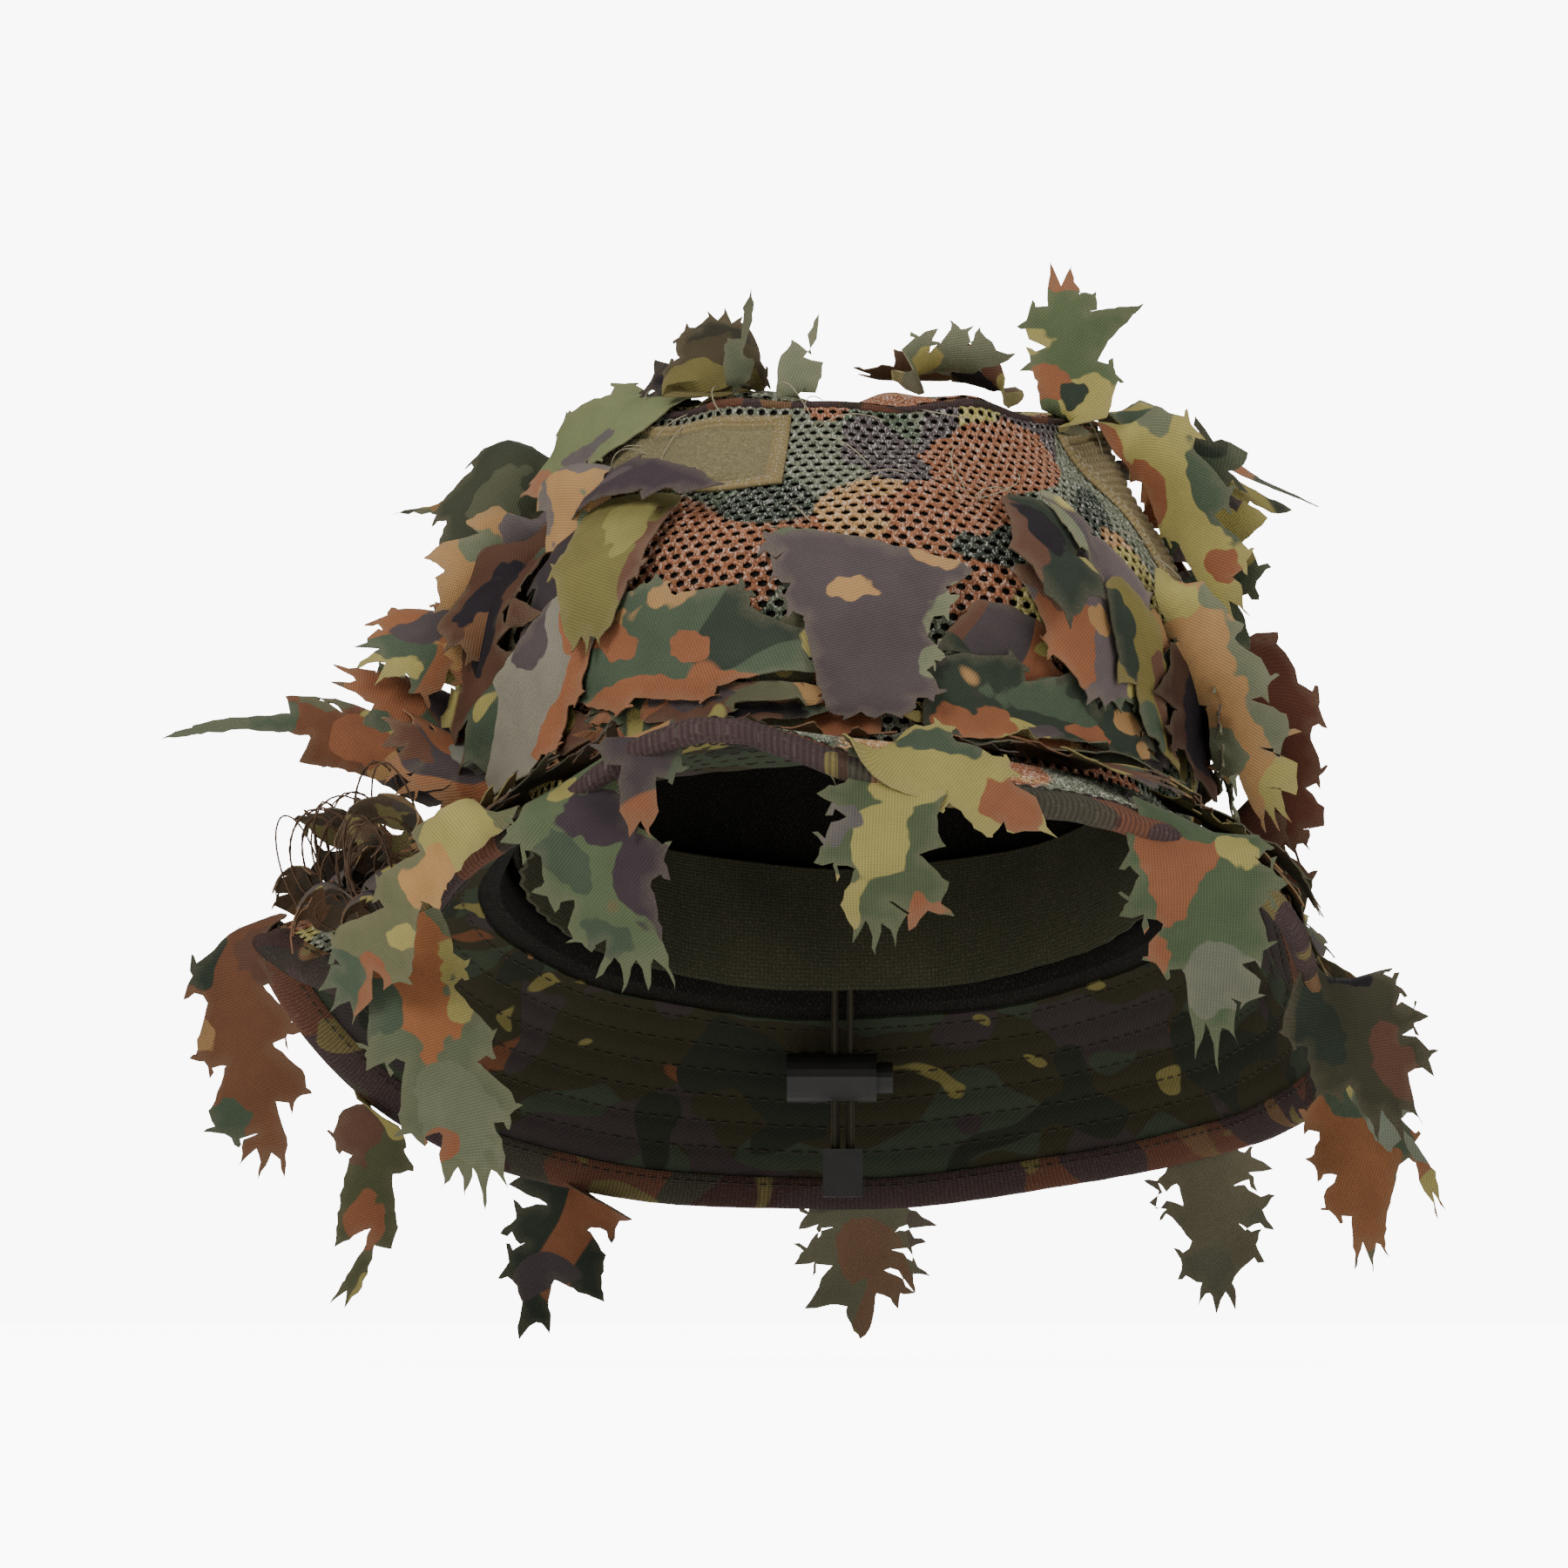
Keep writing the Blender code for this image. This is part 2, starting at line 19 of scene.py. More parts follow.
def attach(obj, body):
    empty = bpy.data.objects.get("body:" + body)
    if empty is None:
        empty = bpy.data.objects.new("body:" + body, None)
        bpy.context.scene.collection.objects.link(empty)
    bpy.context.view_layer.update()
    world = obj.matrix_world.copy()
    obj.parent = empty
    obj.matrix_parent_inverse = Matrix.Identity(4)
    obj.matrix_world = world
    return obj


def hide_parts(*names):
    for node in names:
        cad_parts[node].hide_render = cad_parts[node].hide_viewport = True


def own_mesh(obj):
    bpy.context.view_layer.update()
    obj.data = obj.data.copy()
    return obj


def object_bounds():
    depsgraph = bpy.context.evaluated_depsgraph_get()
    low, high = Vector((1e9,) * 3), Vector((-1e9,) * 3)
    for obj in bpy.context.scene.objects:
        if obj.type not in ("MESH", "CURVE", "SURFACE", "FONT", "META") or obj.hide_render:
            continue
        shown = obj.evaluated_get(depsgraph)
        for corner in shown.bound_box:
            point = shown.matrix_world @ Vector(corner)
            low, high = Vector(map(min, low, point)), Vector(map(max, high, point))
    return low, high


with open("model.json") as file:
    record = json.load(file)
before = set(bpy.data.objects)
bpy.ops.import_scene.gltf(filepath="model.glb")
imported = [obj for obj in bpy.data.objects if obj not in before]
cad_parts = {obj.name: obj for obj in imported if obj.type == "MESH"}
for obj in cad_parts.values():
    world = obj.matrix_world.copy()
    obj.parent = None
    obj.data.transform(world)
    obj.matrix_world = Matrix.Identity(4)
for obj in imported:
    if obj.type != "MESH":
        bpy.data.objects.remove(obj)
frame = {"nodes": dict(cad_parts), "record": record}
CAD_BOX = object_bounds()
MM = 0.001

# The hat's form, in millimetres and degrees, the same as the CAD's
HEAD_WIDTH, HEAD_LENGTH = 164, 202
CROWN_TOP_WIDTH, CROWN_TOP_LENGTH = 124, 156
CROWN_BULGE = 13
CROWN_CENTRE_HEIGHT = 110
CROWN_RIM_HEIGHT = (94, 98, 107, 111, 110, 108, 107, 108, 110, 111, 107, 98)
SHOULDER_RADIUS = 7
BRIM_WIDTH = 59
BRIM_DROP = (24, 28, 45, 48, 44, 42, 45, 47, 40, 12, 44, 27)
FRONT_WAVE_AZIMUTH, FRONT_WAVE_WIDTH, FRONT_WAVE_RISE = -12, 11, 12
WORN_TILT = 12
HANG_LEAN, HANG_LENGTH = 0.08, 110
HANG_ROOT_RUN = 50
LOWER_BRIM_LIFT = -3.2

MARKS = 5  # printed marks that can be set on one leaf

# The table that holds the hat's surface
AZIMUTHS, RUN_LOW, RUN_HIGH, RUN_STEP = 720, -176.0, 160.0, 0.5

# Printed cloth colours, as sRGB 0 to 255
RUST, TAN, GREY_GREEN, GREEN = (150, 96, 66), (174, 134, 88), (114, 118, 92), (80, 92, 72)
DARK_GREEN, PURPLE, YELLOW, DARK = (56, 64, 52), (84, 74, 74), (170, 158, 92), (42, 36, 40)
OLIVE, BROWN, GREY = (102, 101, 76), (108, 76, 60), (138, 136, 122)


def linear(colour):
    """Scene-linear RGB from sRGB 0 to 255."""
    parts = [c / 255 for c in colour]
    return tuple(c / 12.92 if c <= 0.04045 else ((c + 0.055) / 1.055) ** 2.4 for c in parts)


# ---------------------------------------------------------------- the hat's surface

def ring_values(values, azimuth):
    """Periodic Catmull-Rom interpolation of values spaced evenly round the hat."""
    place = np.asarray(azimuth, float) / 360 * len(values)
    i = np.floor(place).astype(int)
    t = place - i
    v = np.array(values, float)
    before, start, end, after = (v[(i + k) % len(v)] for k in (-1, 0, 1, 2))
    cubic = 3 * (start - end) + after - before
    square = 2 * before - 5 * start + 4 * end - after
    return start + 0.5 * t * (end - before + t * (square + t * cubic))


def ellipse(angle, width, length):
    half_width, half_length = width / 2, length / 2
    return half_width * half_length / np.hypot(half_length * np.sin(angle), half_width * np.cos(angle))


def blur(table, reach):
    """Averages a table along its runs, over reach millimetres each way."""
    half = int(reach / RUN_STEP)
    padded = np.pad(table, ((0, 0), (half + 1, half)), mode="edge")
    total = np.cumsum(padded, axis=1)
    width = 2 * half + 1
    return (total[:, width:] - total[:, :-width]) / width


def unit_pair(across, up):
    long = np.maximum(np.hypot(across, up), 1e-9)
    return across / long, up / long


def slack(azimuth, run):
    """How far soft cloth stands off its plain form, in mm: dents in the crown and ripples in the brim."""
    a = np.radians(azimuth)
    on_top = 1 / (1 + np.exp((run + 62) / 9))
    on_brim = 1 / (1 + np.exp(-(run - 18) / 6))
    dents = (
        1.5 * np.sin(5 * a + run / 19 + 0.6) * np.cos(3 * a - run / 27)
        + 1.1 * np.sin(9 * a - run / 13 + 2.0)
        + 0.6 * np.sin(17 * a + run / 9)
    )
    ripples = 0.9 * np.sin(7 * a + 0.9 + run / 30) + 0.6 * np.sin(13 * a + run / 16)
    return dents * on_top * 0.95 + ripples * on_brim + 0.5 * np.sin(11 * a + run / 14) * (1 - on_top) * (1 - on_brim)


def make_surface():
    azimuth = np.arange(AZIMUTHS) * 360 / AZIMUTHS
    angle = np.radians(azimuth)[:, None]
    base = ellipse(angle, HEAD_WIDTH, HEAD_LENGTH)
    top = ellipse(angle, CROWN_TOP_WIDTH, CROWN_TOP_LENGTH)
    height = ring_values(CROWN_RIM_HEIGHT, azimuth)[:, None]
    flat = top - SHOULDER_RADIUS
    out = np.linspace(0, 1, 40)[None]
    away, up = [flat * out], [height + (CROWN_CENTRE_HEIGHT - height) * (1 - out**2)]
    turn = np.radians(np.linspace(0, 60, 12))[None, 1:]
    away.append(flat + SHOULDER_RADIUS * np.sin(turn))
    up.append(height - SHOULDER_RADIUS * (1 - np.cos(turn)))
    shoulder, rim = away[-1][:, -1:], up[-1][:, -1:]
    down = np.linspace(0, 1, 80)[None, 1:]
    away.append(shoulder + (base - shoulder) * down + CROWN_BULGE * np.sin(np.pi * down) ** 2)
    up.append(rim * (1 - down))
    seam = sum(part.shape[1] for part in away) - 1
    off = (azimuth - FRONT_WAVE_AZIMUTH + 180) % 360 - 180
    drop = (ring_values(BRIM_DROP, azimuth) - FRONT_WAVE_RISE * np.exp(-((off / FRONT_WAVE_WIDTH) ** 2)))[:, None]
    reach = np.sqrt(BRIM_WIDTH**2 - drop**2) * 0.97
    out = np.linspace(0, 1, 60)[None, 1:]
    away.append(base + reach * out)
    up.append(-drop * out**1.5)
    slope = np.arctan2(up[-1][:, -1] - up[-1][:, -2], away[-1][:, -1] - away[-1][:, -2])
    tilt = math.radians(WORN_TILT)
    plumb = np.arctan2(-math.cos(tilt) * np.ones(AZIMUTHS), -math.sin(tilt) * np.cos(angle[:, 0]) + HANG_LEAN)
    steps = 110
    step = HANG_LENGTH / steps
    a, b = away[-1][:, -1].copy(), up[-1][:, -1].copy()
    for k in range(steps):
        heading = slope + (plumb - slope) * min(1, max(0, (k * step - 3) / 15))
        a = a + step * np.cos(heading)
        b = b + step * np.sin(heading)
        away.append(a[:, None].copy())
        up.append(b[:, None].copy())
    away, up = np.hstack(away), np.hstack(up)
    along = np.cumsum(np.hypot(np.diff(away, axis=1), np.diff(up, axis=1)), axis=1)
    along = np.hstack([np.zeros((AZIMUTHS, 1)), along])
    along -= along[:, seam : seam + 1]
    runs = np.arange(RUN_LOW, RUN_HIGH, RUN_STEP)
    out_table = np.array([np.interp(runs, along[k], away[k]) for k in range(AZIMUTHS)])
    up_table = np.array([np.interp(runs, along[k], up[k]) for k in range(AZIMUTHS)])
    normal = unit_pair(-np.gradient(up_table, axis=1), np.gradient(out_table, axis=1))
    normal = unit_pair(*(blur(part, 4) for part in normal))
    push = slack(azimuth[:, None], runs[None]) * np.clip((out_table - 4) / 20, 0, 1)
    out_table, up_table = out_table + push * normal[0], up_table + push * normal[1]
    normal = unit_pair(-np.gradient(up_table, axis=1), np.gradient(out_table, axis=1))
    hard = unit_pair(*(blur(part, 1.5) for part in normal))
    soft = unit_pair(*(blur(part, 13) for part in normal))
    return out_table, up_table, *hard, *soft, along[:, 0]


OUT, UP, HARD_OUT, HARD_UP, SOFT_OUT, SOFT_UP, CENTRE_RUN = make_surface()
RIM_RUN = np.array([])


def look_up(tables, azimuth, run):
    """Bilinear values of the surface's tables at azimuths and runs."""
    a = np.asarray(azimuth, float) % 360 * AZIMUTHS / 360
    b = np.clip((np.asarray(run, float) - RUN_LOW) / RUN_STEP, 0, OUT.shape[1] - 1.001)
    i, j = np.floor(a).astype(int), np.floor(b).astype(int)
    s, t = a - i, b - j
    i, i2 = i % AZIMUTHS, (i + 1) % AZIMUTHS
    return [
        (x[i, j] * (1 - s) + x[i2, j] * s) * (1 - t) + (x[i, j + 1] * (1 - s) + x[i2, j + 1] * s) * t for x in tables
    ]


def local_skin(azimuth, run, lift, soft=False):
    normals = (SOFT_OUT, SOFT_UP) if soft else (HARD_OUT, HARD_UP)
    out, up, across, along = look_up((OUT, UP, *normals), azimuth, run)
    out, up = out + lift * across, up + lift * along
    angle = np.radians(azimuth)
    return np.stack([out * np.sin(angle), -out * np.cos(angle), up], -1)


TILT = np.array(Matrix.Rotation(-math.radians(WORN_TILT), 3, "X"))


def joint(name):
    return next(j for j in frame["record"]["behaviour"]["joints"] if j["name"] == name)


# The front leaf's hinge, whose azimuth and run are known, ties the table to the frame.
PLACE = np.array(joint("swing_front")["pos_m"]) / MM - TILT @ local_skin(4.0, HANG_ROOT_RUN, 2.4)


def skin(azimuth, run, lift, soft=False):
    """World positions in metres."""
    azimuth, run, lift = np.broadcast_arrays(*(np.asarray(x, float) for x in (azimuth, run, lift)))
    return (local_skin(azimuth, run, lift, soft) @ TILT.T + PLACE) * MM


def rim_run(azimuth):
    """The run of the piped seam at the top of the crown's wall."""
    flat = ellipse(np.radians(azimuth), CROWN_TOP_WIDTH, CROWN_TOP_LENGTH) - SHOULDER_RADIUS
    height = ring_values(CROWN_RIM_HEIGHT, np.asarray(azimuth, float) % 360)
    centre = np.interp(np.asarray(azimuth) % 360, np.arange(AZIMUTHS) * 360 / AZIMUTHS, CENTRE_RUN, period=360)
    dome = np.hypot(flat, (CROWN_CENTRE_HEIGHT - height) * 1.1)
    return centre + dome + SHOULDER_RADIUS


# ---------------------------------------------------------------- meshes and pieces

def new_piece(name, points, faces, body="hat", material=None, smooth=True, sharp=None):
    mesh = bpy.data.meshes.new(name)
    mesh.from_pydata([tuple(p) for p in np.asarray(points)], [], [tuple(int(i) for i in f) for f in faces])
    mesh.validate()
    if smooth:
        mesh.shade_smooth()
        if sharp:
            mesh.set_sharp_from_angle(angle=math.radians(sharp))
    piece = bpy.data.objects.new(name, mesh)
    bpy.context.scene.collection.objects.link(piece)
    if material:
        mesh.materials.append(material)
    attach(piece, body)
    return piece


def give(piece, name, values, kind="FLOAT_VECTOR"):
    """Stores values, one for each vertex, on a piece's mesh for its material to read."""
    layer = piece.data.attributes.new(name, kind, "POINT")
    values = np.asarray(values, np.float32)
    key = {"FLOAT": "value", "FLOAT_VECTOR": "vector", "FLOAT_COLOR": "color"}[kind]
    layer.data.foreach_set(key, values.ravel())


def grid_faces(columns, rows, closed):
    """Quads of a grid whose points run row by row, each with this many columns."""
    faces = []
    for r in range(rows - 1):
        for c in range(columns if closed else columns - 1):
            d = (c + 1) % columns
            faces.append((r * columns + c, r * columns + d, (r + 1) * columns + d, (r + 1) * columns + c))
    return faces


def ring_grid(section, columns, start=0, end=360):
    """Points and flat coordinates of a strip round the hat. section(azimuths) gives (runs, lifts) for each row."""
    whole = end - start >= 360
    azimuth = np.linspace(start, end, columns, endpoint=not whole)
    rows = section(azimuth)
    points, flats = [], []
    for run, lift in rows:
        run, lift = np.broadcast_to(run, azimuth.shape), np.broadcast_to(lift, azimuth.shape)
        points.append(skin(azimuth, run, lift))
        flats.append(np.stack([np.radians(azimuth) * 95, run, np.zeros_like(azimuth)], -1) * MM)
    return np.concatenate(points), np.concatenate(flats), whole


def closed_sheet(name, rows_at, columns, material, start=0, end=360, body="hat", sharp=40):
    """A strip of cloth whose section is a closed loop of rows, with its ends capped if it isn't a ring."""
    points, flats, whole = ring_grid(rows_at, columns, start, end)
    count = len(points) // columns
    faces = []
    for r in range(count):
        s = (r + 1) % count
        for c in range(columns if whole else columns - 1):
            d = (c + 1) % columns
            faces.append((r * columns + c, r * columns + d, s * columns + d, s * columns + c))
    if not whole:
        faces.append([r * columns for r in range(count)])
        faces.append([r * columns + columns - 1 for r in reversed(range(count))])
    piece = new_piece(name, points, faces, body, material, sharp=sharp)
    fix_normals(piece)
    give(piece, "flat", flats)
    return piece


def fix_normals(piece):
    mesh = bmesh.new()
    mesh.from_mesh(piece.data)
    bmesh.ops.recalc_face_normals(mesh, faces=mesh.faces)
    mesh.to_mesh(piece.data)
    mesh.free()


def slab(runs, outer, inner):
    """Rows of a flat strip: out along its outer face, then back along its inner face."""
    def rows(azimuth):
        got = [run(azimuth) if callable(run) else run for run in runs]
        return [(run, outer) for run in got] + [(run, inner) for run in reversed(got)]

    return rows


def spread(low, high, count):
    """Runs from low to high, either of which may depend on the azimuth."""
    def at(k):
        def run(azimuth):
            a = low(azimuth) if callable(low) else low
            b = high(azimuth) if callable(high) else high
            return a + (b - a) * k / (count - 1)

        return run

    return [at(k) for k in range(count)]


# ---------------------------------------------------------------- materials

class Nodes:
    """A material under construction, with short ways to add nodes."""

    def __init__(self, name):
        self.material = bpy.data.materials.new(name)
        self.material.use_nodes = True
        self.tree = self.material.node_tree
        self.shader = self.tree.nodes["Principled BSDF"]

    def add(self, kind, **settings):
        node = self.tree.nodes.new("ShaderNode" + kind)
        inputs = settings.pop("inputs", {})
        for key, value in settings.items():
            setattr(node, key, value)
        for key, value in inputs.items():
            self.feed(node.inputs[key], value)
        return node

    def feed(self, socket, value):
        if isinstance(value, bpy.types.NodeSocket):
            self.tree.links.new(value, socket)
        elif isinstance(value, tuple) and len(value) == 3 and socket.type == "RGBA":
            socket.default_value = (*value, 1)
        else:
            socket.default_value = value

    def math(self, operation, a, b=0.0, c=0.0, clamp=False):
        node = self.add("Math", operation=operation, use_clamp=clamp)
        for socket, value in zip(node.inputs, (a, b, c)):
            self.feed(socket, value)
        return node.outputs[0]

    def vector(self, operation, a, b=(0, 0, 0)):
        node = self.add("VectorMath", operation=operation)
        self.feed(node.inputs[0], a)
        self.feed(node.inputs[3] if operation == "SCALE" else node.inputs[1], b)
        return node.outputs[0]

    def mix(self, factor, a, b, blend="MIX"):
        node = self.add("Mix", data_type="RGBA", blend_type=blend, clamp_factor=True)
        self.feed(node.inputs[0], factor)
        self.feed(node.inputs[6], a)
        self.feed(node.inputs[7], b)
        return node.outputs[2]

    def step(self, value, at, soft):
        """0 below at, 1 above it, with a soft edge this wide."""
        node = self.add("MapRange", interpolation_type="SMOOTHSTEP")
        self.feed(node.inputs["Value"], value)
        self.feed(node.inputs["From Min"], self.math("SUBTRACT", at, soft / 2))
        self.feed(node.inputs["From Max"], self.math("ADD", at, soft / 2))
        return node.outputs["Result"]

    def noise(self, vector, scale, detail=2.0, distortion=0.0, roughness=0.5):
        node = self.add("TexNoise", inputs={"Vector": vector, "Scale": scale, "Detail": detail})
        node.inputs["Distortion"].default_value = distortion
        node.inputs["Roughness"].default_value = roughness
        return node.outputs["Fac"]

    def attribute(self, name, output="Vector"):
        return self.add("Attribute", attribute_name=name).outputs[output]

    def split(self, vector):
        return self.add("SeparateXYZ", inputs={0: vector}).outputs

    def bump(self, height, strength, distance=0.0003, under=None):
        node = self.add("Bump", inputs={"Height": height, "Strength": strength, "Distance": distance})
        if under:
            self.feed(node.inputs["Normal"], under)
        return node.outputs[0]

    def finish(self, colour, roughness=0.85, normal=None, sheen=0.0, metallic=0.0, specular=0.3):
        self.feed(self.shader.inputs["Base Color"], colour)
        self.feed(self.shader.inputs["Roughness"], roughness)
        self.feed(self.shader.inputs["Metallic"], metallic)
        self.feed(self.shader.inputs["Specular IOR Level"], specular)
        self.feed(self.shader.inputs["Sheen Weight"], sheen)
        if normal:
            self.feed(self.shader.inputs["Normal"], normal)
        return self.material


def blobs(n, flat, shift, scale, at, soft=0.012):
    """A mask of smooth printed blobs on the flat cloth."""
    moved = n.vector("ADD", flat, shift)
    return n.step(n.noise(moved, scale, 0.4, 0.5), at, soft)


def ovals(n, flat, shift, scale, size):
    """A mask of sparse printed ovals on the flat cloth."""
    moved = n.vector("MULTIPLY", n.vector("ADD", flat, shift), (1.0, 0.55, 1.0))
    cells = n.add("TexVoronoi", inputs={"Vector": moved, "Scale": scale, "Randomness": 0.8})
    chosen = n.step(n.split(cells.outputs["Color"])[0], 0.55, 0.02)
    inside = n.math("SUBTRACT", 1.0, n.step(cells.outputs["Distance"], size, 0.03))
    return n.math("MULTIPLY", chosen, inside)


def camouflage(n, flat, ground, bias, scale=1.0):
    """Printed camouflage: a ground colour under blobs, more or fewer of each by the three parts of bias."""
    red, green, blue = n.split(bias)
    by = lambda part, at: n.math("SUBTRACT", at, part)
    colour = ground
    layers = (
        ((3.1, 7.7, 0), 30, by(green, 0.56), linear(GREEN)),
        ((9.4, 2.3, 0), 27, by(red, 0.60), linear(RUST)),
        ((5.2, 1.1, 0), 34, by(blue, 0.62), linear(PURPLE)),
        ((1.7, 4.9, 0), 38, by(green, 0.66), linear(DARK_GREEN)),
        ((8.8, 6.1, 0), 44, by(red, 0.68), linear(TAN)),
        ((2.2, 8.3, 0), 46, n.math("MULTIPLY_ADD", red, -0.5, 0.665), linear(YELLOW)),
    )
    for shift, fine, at, tone in layers:
        colour = n.mix(blobs(n, flat, shift, fine * scale, at), colour, tone)
    # Only cloth with a busy print has the small ovals.
    busy = n.step(red, -0.1, 0.02)
    for shift, fine, size, tone in (((4.4, 4.1, 0), 26, 0.15, YELLOW), ((7.4, 3.1, 0), 30, 0.15, RUST)):
        oval = n.math("MULTIPLY", busy, ovals(n, flat, shift, fine * scale, size))
        colour = n.mix(oval, colour, linear(tone))
    return colour


def rib(n, flat, pitch, angle=0.0):
    """Fine woven ribs, 0 to 1, this many millimetres apart."""
    turned = n.add("VectorRotate", rotation_type="Z_AXIS", inputs={"Vector": flat, "Angle": angle}).outputs[0]
    wave = n.math("SINE", n.math("MULTIPLY", n.split(turned)[0], 2 * math.pi / (pitch * MM)))
    return n.math("MULTIPLY_ADD", wave, 0.5, 0.5)


def weave(n, flat, pitch):
    return n.math("MULTIPLY", rib(n, flat, pitch, 0.12), rib(n, flat, pitch * 1.3, 1.69))


def printed_marks(n, colour, wobble):
    """Lays the marks set on a piece over its print, with wavy edges."""
    for k in range(MARKS):
        deep = n.math("ADD", n.attribute(f"mark_{k}", "Fac"), wobble)
        colour = n.mix(n.step(deep, 0.0, 0.5), colour, n.attribute(f"mark_tone_{k}", "Color"))
    return colour


def leaf_material():
    n = Nodes("leaf_cloth")
    flat = n.attribute("flat")
    tone = n.attribute("tone")
    shade, side, edge = n.split(tone)
    colour = camouflage(n, flat, n.attribute("ground", "Color"), n.attribute("bias"))
    wobble = n.math("MULTIPLY", n.math("SUBTRACT", n.noise(flat, 100, 2.0), 0.5), 12.0)
    colour = printed_marks(n, colour, wobble)
    fine = rib(n, flat, 0.62, 0.2)
    cross = rib(n, flat, 0.5, 1.75)
    faded = n.math("MULTIPLY_ADD", n.noise(flat, 90, 4, 0.3, 0.6), 0.5, 0.75)
    ribbed = n.math("MULTIPLY_ADD", fine, -0.26, 1.0)
    # The cross threads are painted lighter, a painted highlight on the weave; the ribs and the fading are the cloth's
    # own.
    woven = n.math("MULTIPLY", n.math("MULTIPLY", ribbed, n.math("MULTIPLY_ADD", cross, 0.22, 0.9)), faded)
    colour = n.mix(1.0, colour, n.add("CombineColor", inputs={0: woven, 1: woven, 2: woven}).outputs[0], "MULTIPLY")
    # The unprinted side is paler, and the print shows through it.
    pale = n.mix(0.45, colour, linear((122, 112, 92)))
    colour = n.mix(side, pale, colour)
    fray = n.math("MULTIPLY", n.math("SUBTRACT", 1.0, edge), n.noise(flat, 1500, 2))
    colour = n.mix(n.math("MULTIPLY", fray, 0.4), colour, linear((140, 128, 104)))
    # Each leaf's painted shade, varied a little at random, darkens its whole print and stands for the shade the leaf
    # lies in.
    colour = n.mix(1.0, colour, n.add("CombineColor", inputs={0: shade, 1: shade, 2: shade}).outputs[0], "MULTIPLY")
    soft = n.noise(flat, 260, 3)
    normal = n.bump(n.math("ADD", n.math("ADD", fine, cross), n.math("MULTIPLY", soft, 2.0)), 0.35, 0.00018)
    return n.finish(colour, n.math("MULTIPLY_ADD", soft, 0.2, 0.72), normal, specular=0.15)


def mesh_material():
    n = Nodes("printed_mesh")
    flat = n.attribute("flat")
    bias = n.add("CombineXYZ", inputs={0: 0.02, 1: 0.03, 2: 0.02}).outputs[0]
    colour = camouflage(n, flat, linear((112, 116, 96)), bias, 0.62)
    wobble = n.math("MULTIPLY", n.math("SUBTRACT", n.noise(flat, 90, 1.5), 0.5), 9.0)
    colour = printed_marks(n, colour, wobble)
    yarn = n.noise(n.vector("MULTIPLY", flat, (1.0, 0.45, 1.0)), 2100, 2, 1.2, 0.6)
    # Painted light on the yarn's relief: its crests are painted lighter, partly whitish fuzz and partly painted
    # highlight, and its hollows near black, painted shade.
    colour = n.mix(n.step(yarn, 0.60, 0.12), colour, n.mix(0.6, colour, (0.74, 0.70, 0.62)))
    colour = n.mix(n.step(n.math("SUBTRACT", 1.0, yarn), 0.56, 0.12), colour, n.mix(0.6, colour, (0.012, 0.01, 0.01)))
    normal = n.bump(yarn, 0.7, 0.0004)
    return n.finish(colour, 0.9, normal, specular=0.15)


def twill_material():
    n = Nodes("brim_twill")
    flat = n.attribute("flat")
    bias = n.add("CombineXYZ", inputs={0: -0.11, 1: 0.05, 2: 0.05}).outputs[0]
    colour = camouflage(n, flat, linear((74, 70, 50)), bias, 1.25)
    colour = n.mix(0.55, colour, linear((36, 32, 26)))
    ribs = rib(n, flat, 0.9, 0.8)
    colour = n.mix(n.math("MULTIPLY", ribs, 0.2), colour, (0.01, 0.01, 0.008))
    normal = n.bump(n.math("ADD", ribs, n.noise(flat, 900, 2)), 0.4, 0.00025)
    return n.finish(colour, 0.9, normal, specular=0.05)


def tape_material(name, colour, dark, ribs_at=0.8, angle=0.0, camo=0.0, flecks=0.3):
    n = Nodes(name)
    flat = n.attribute("flat")
    ribs = rib(n, flat, ribs_at, angle)
    cross = rib(n, flat, ribs_at * 0.8, angle + 1.57)
    tone = n.mix(n.noise(flat, 60, 3), linear(colour), linear(dark))
    if camo:
        bias = n.add("CombineXYZ", inputs={0: 0.02, 1: 0.0, 2: 0.14}).outputs[0]
        tone = n.mix(camo, tone, camouflage(n, flat, linear(colour), bias))
    tone = n.mix(n.math("MULTIPLY", ribs, 0.45), tone, linear(dark))
    tone = n.mix(n.math("MULTIPLY", n.step(n.noise(flat, 1800, 2), 0.6, 0.1), flecks), tone, (0.5, 0.46, 0.38))
    normal = n.bump(n.math("ADD", ribs, n.math("MULTIPLY", cross, 0.5)), 0.6, 0.0003)
    return n.finish(tone, 0.9, normal, specular=0.1)


def pile_material():
    n = Nodes("loop_pile")
    flat = n.attribute("flat")
    loops = n.noise(flat, 1500, 3, 1.5, 0.65)
    tone = n.mix(n.step(loops, 0.5, 0.35), linear((86, 79, 55)), linear((150, 138, 100)))
    tone = n.mix(n.noise(flat, 70, 3), tone, linear((122, 113, 80)))
    normal = n.bump(loops, 0.9, 0.0006)
    return n.finish(tone, 0.95, normal, sheen=0.1, specular=0.1)


def thread_material(name, colour, other):
    n = Nodes(name)
    place = n.add("NewGeometry").outputs["Position"]
    tone = n.mix(n.noise(place, 700, 2), linear(colour), linear(other))
    return n.finish(tone, 0.7, n.bump(n.noise(place, 5000, 2), 0.4, 0.0001), specular=0.3)


def cord_material():
    n = Nodes("braided_cord")
    place = n.add("NewGeometry").outputs["Position"]
    braid = n.math("MULTIPLY", rib(n, place, 1.1, 0.7), rib(n, place, 1.1, -0.7))
    tone = n.mix(n.noise(place, 240, 3), linear((58, 54, 42)), linear((34, 32, 26)))
    tone = n.mix(n.math("MULTIPLY", braid, 0.6), tone, linear((92, 86, 66)))
    return n.finish(tone, 0.8, n.bump(braid, 0.6, 0.0003), specular=0.25)


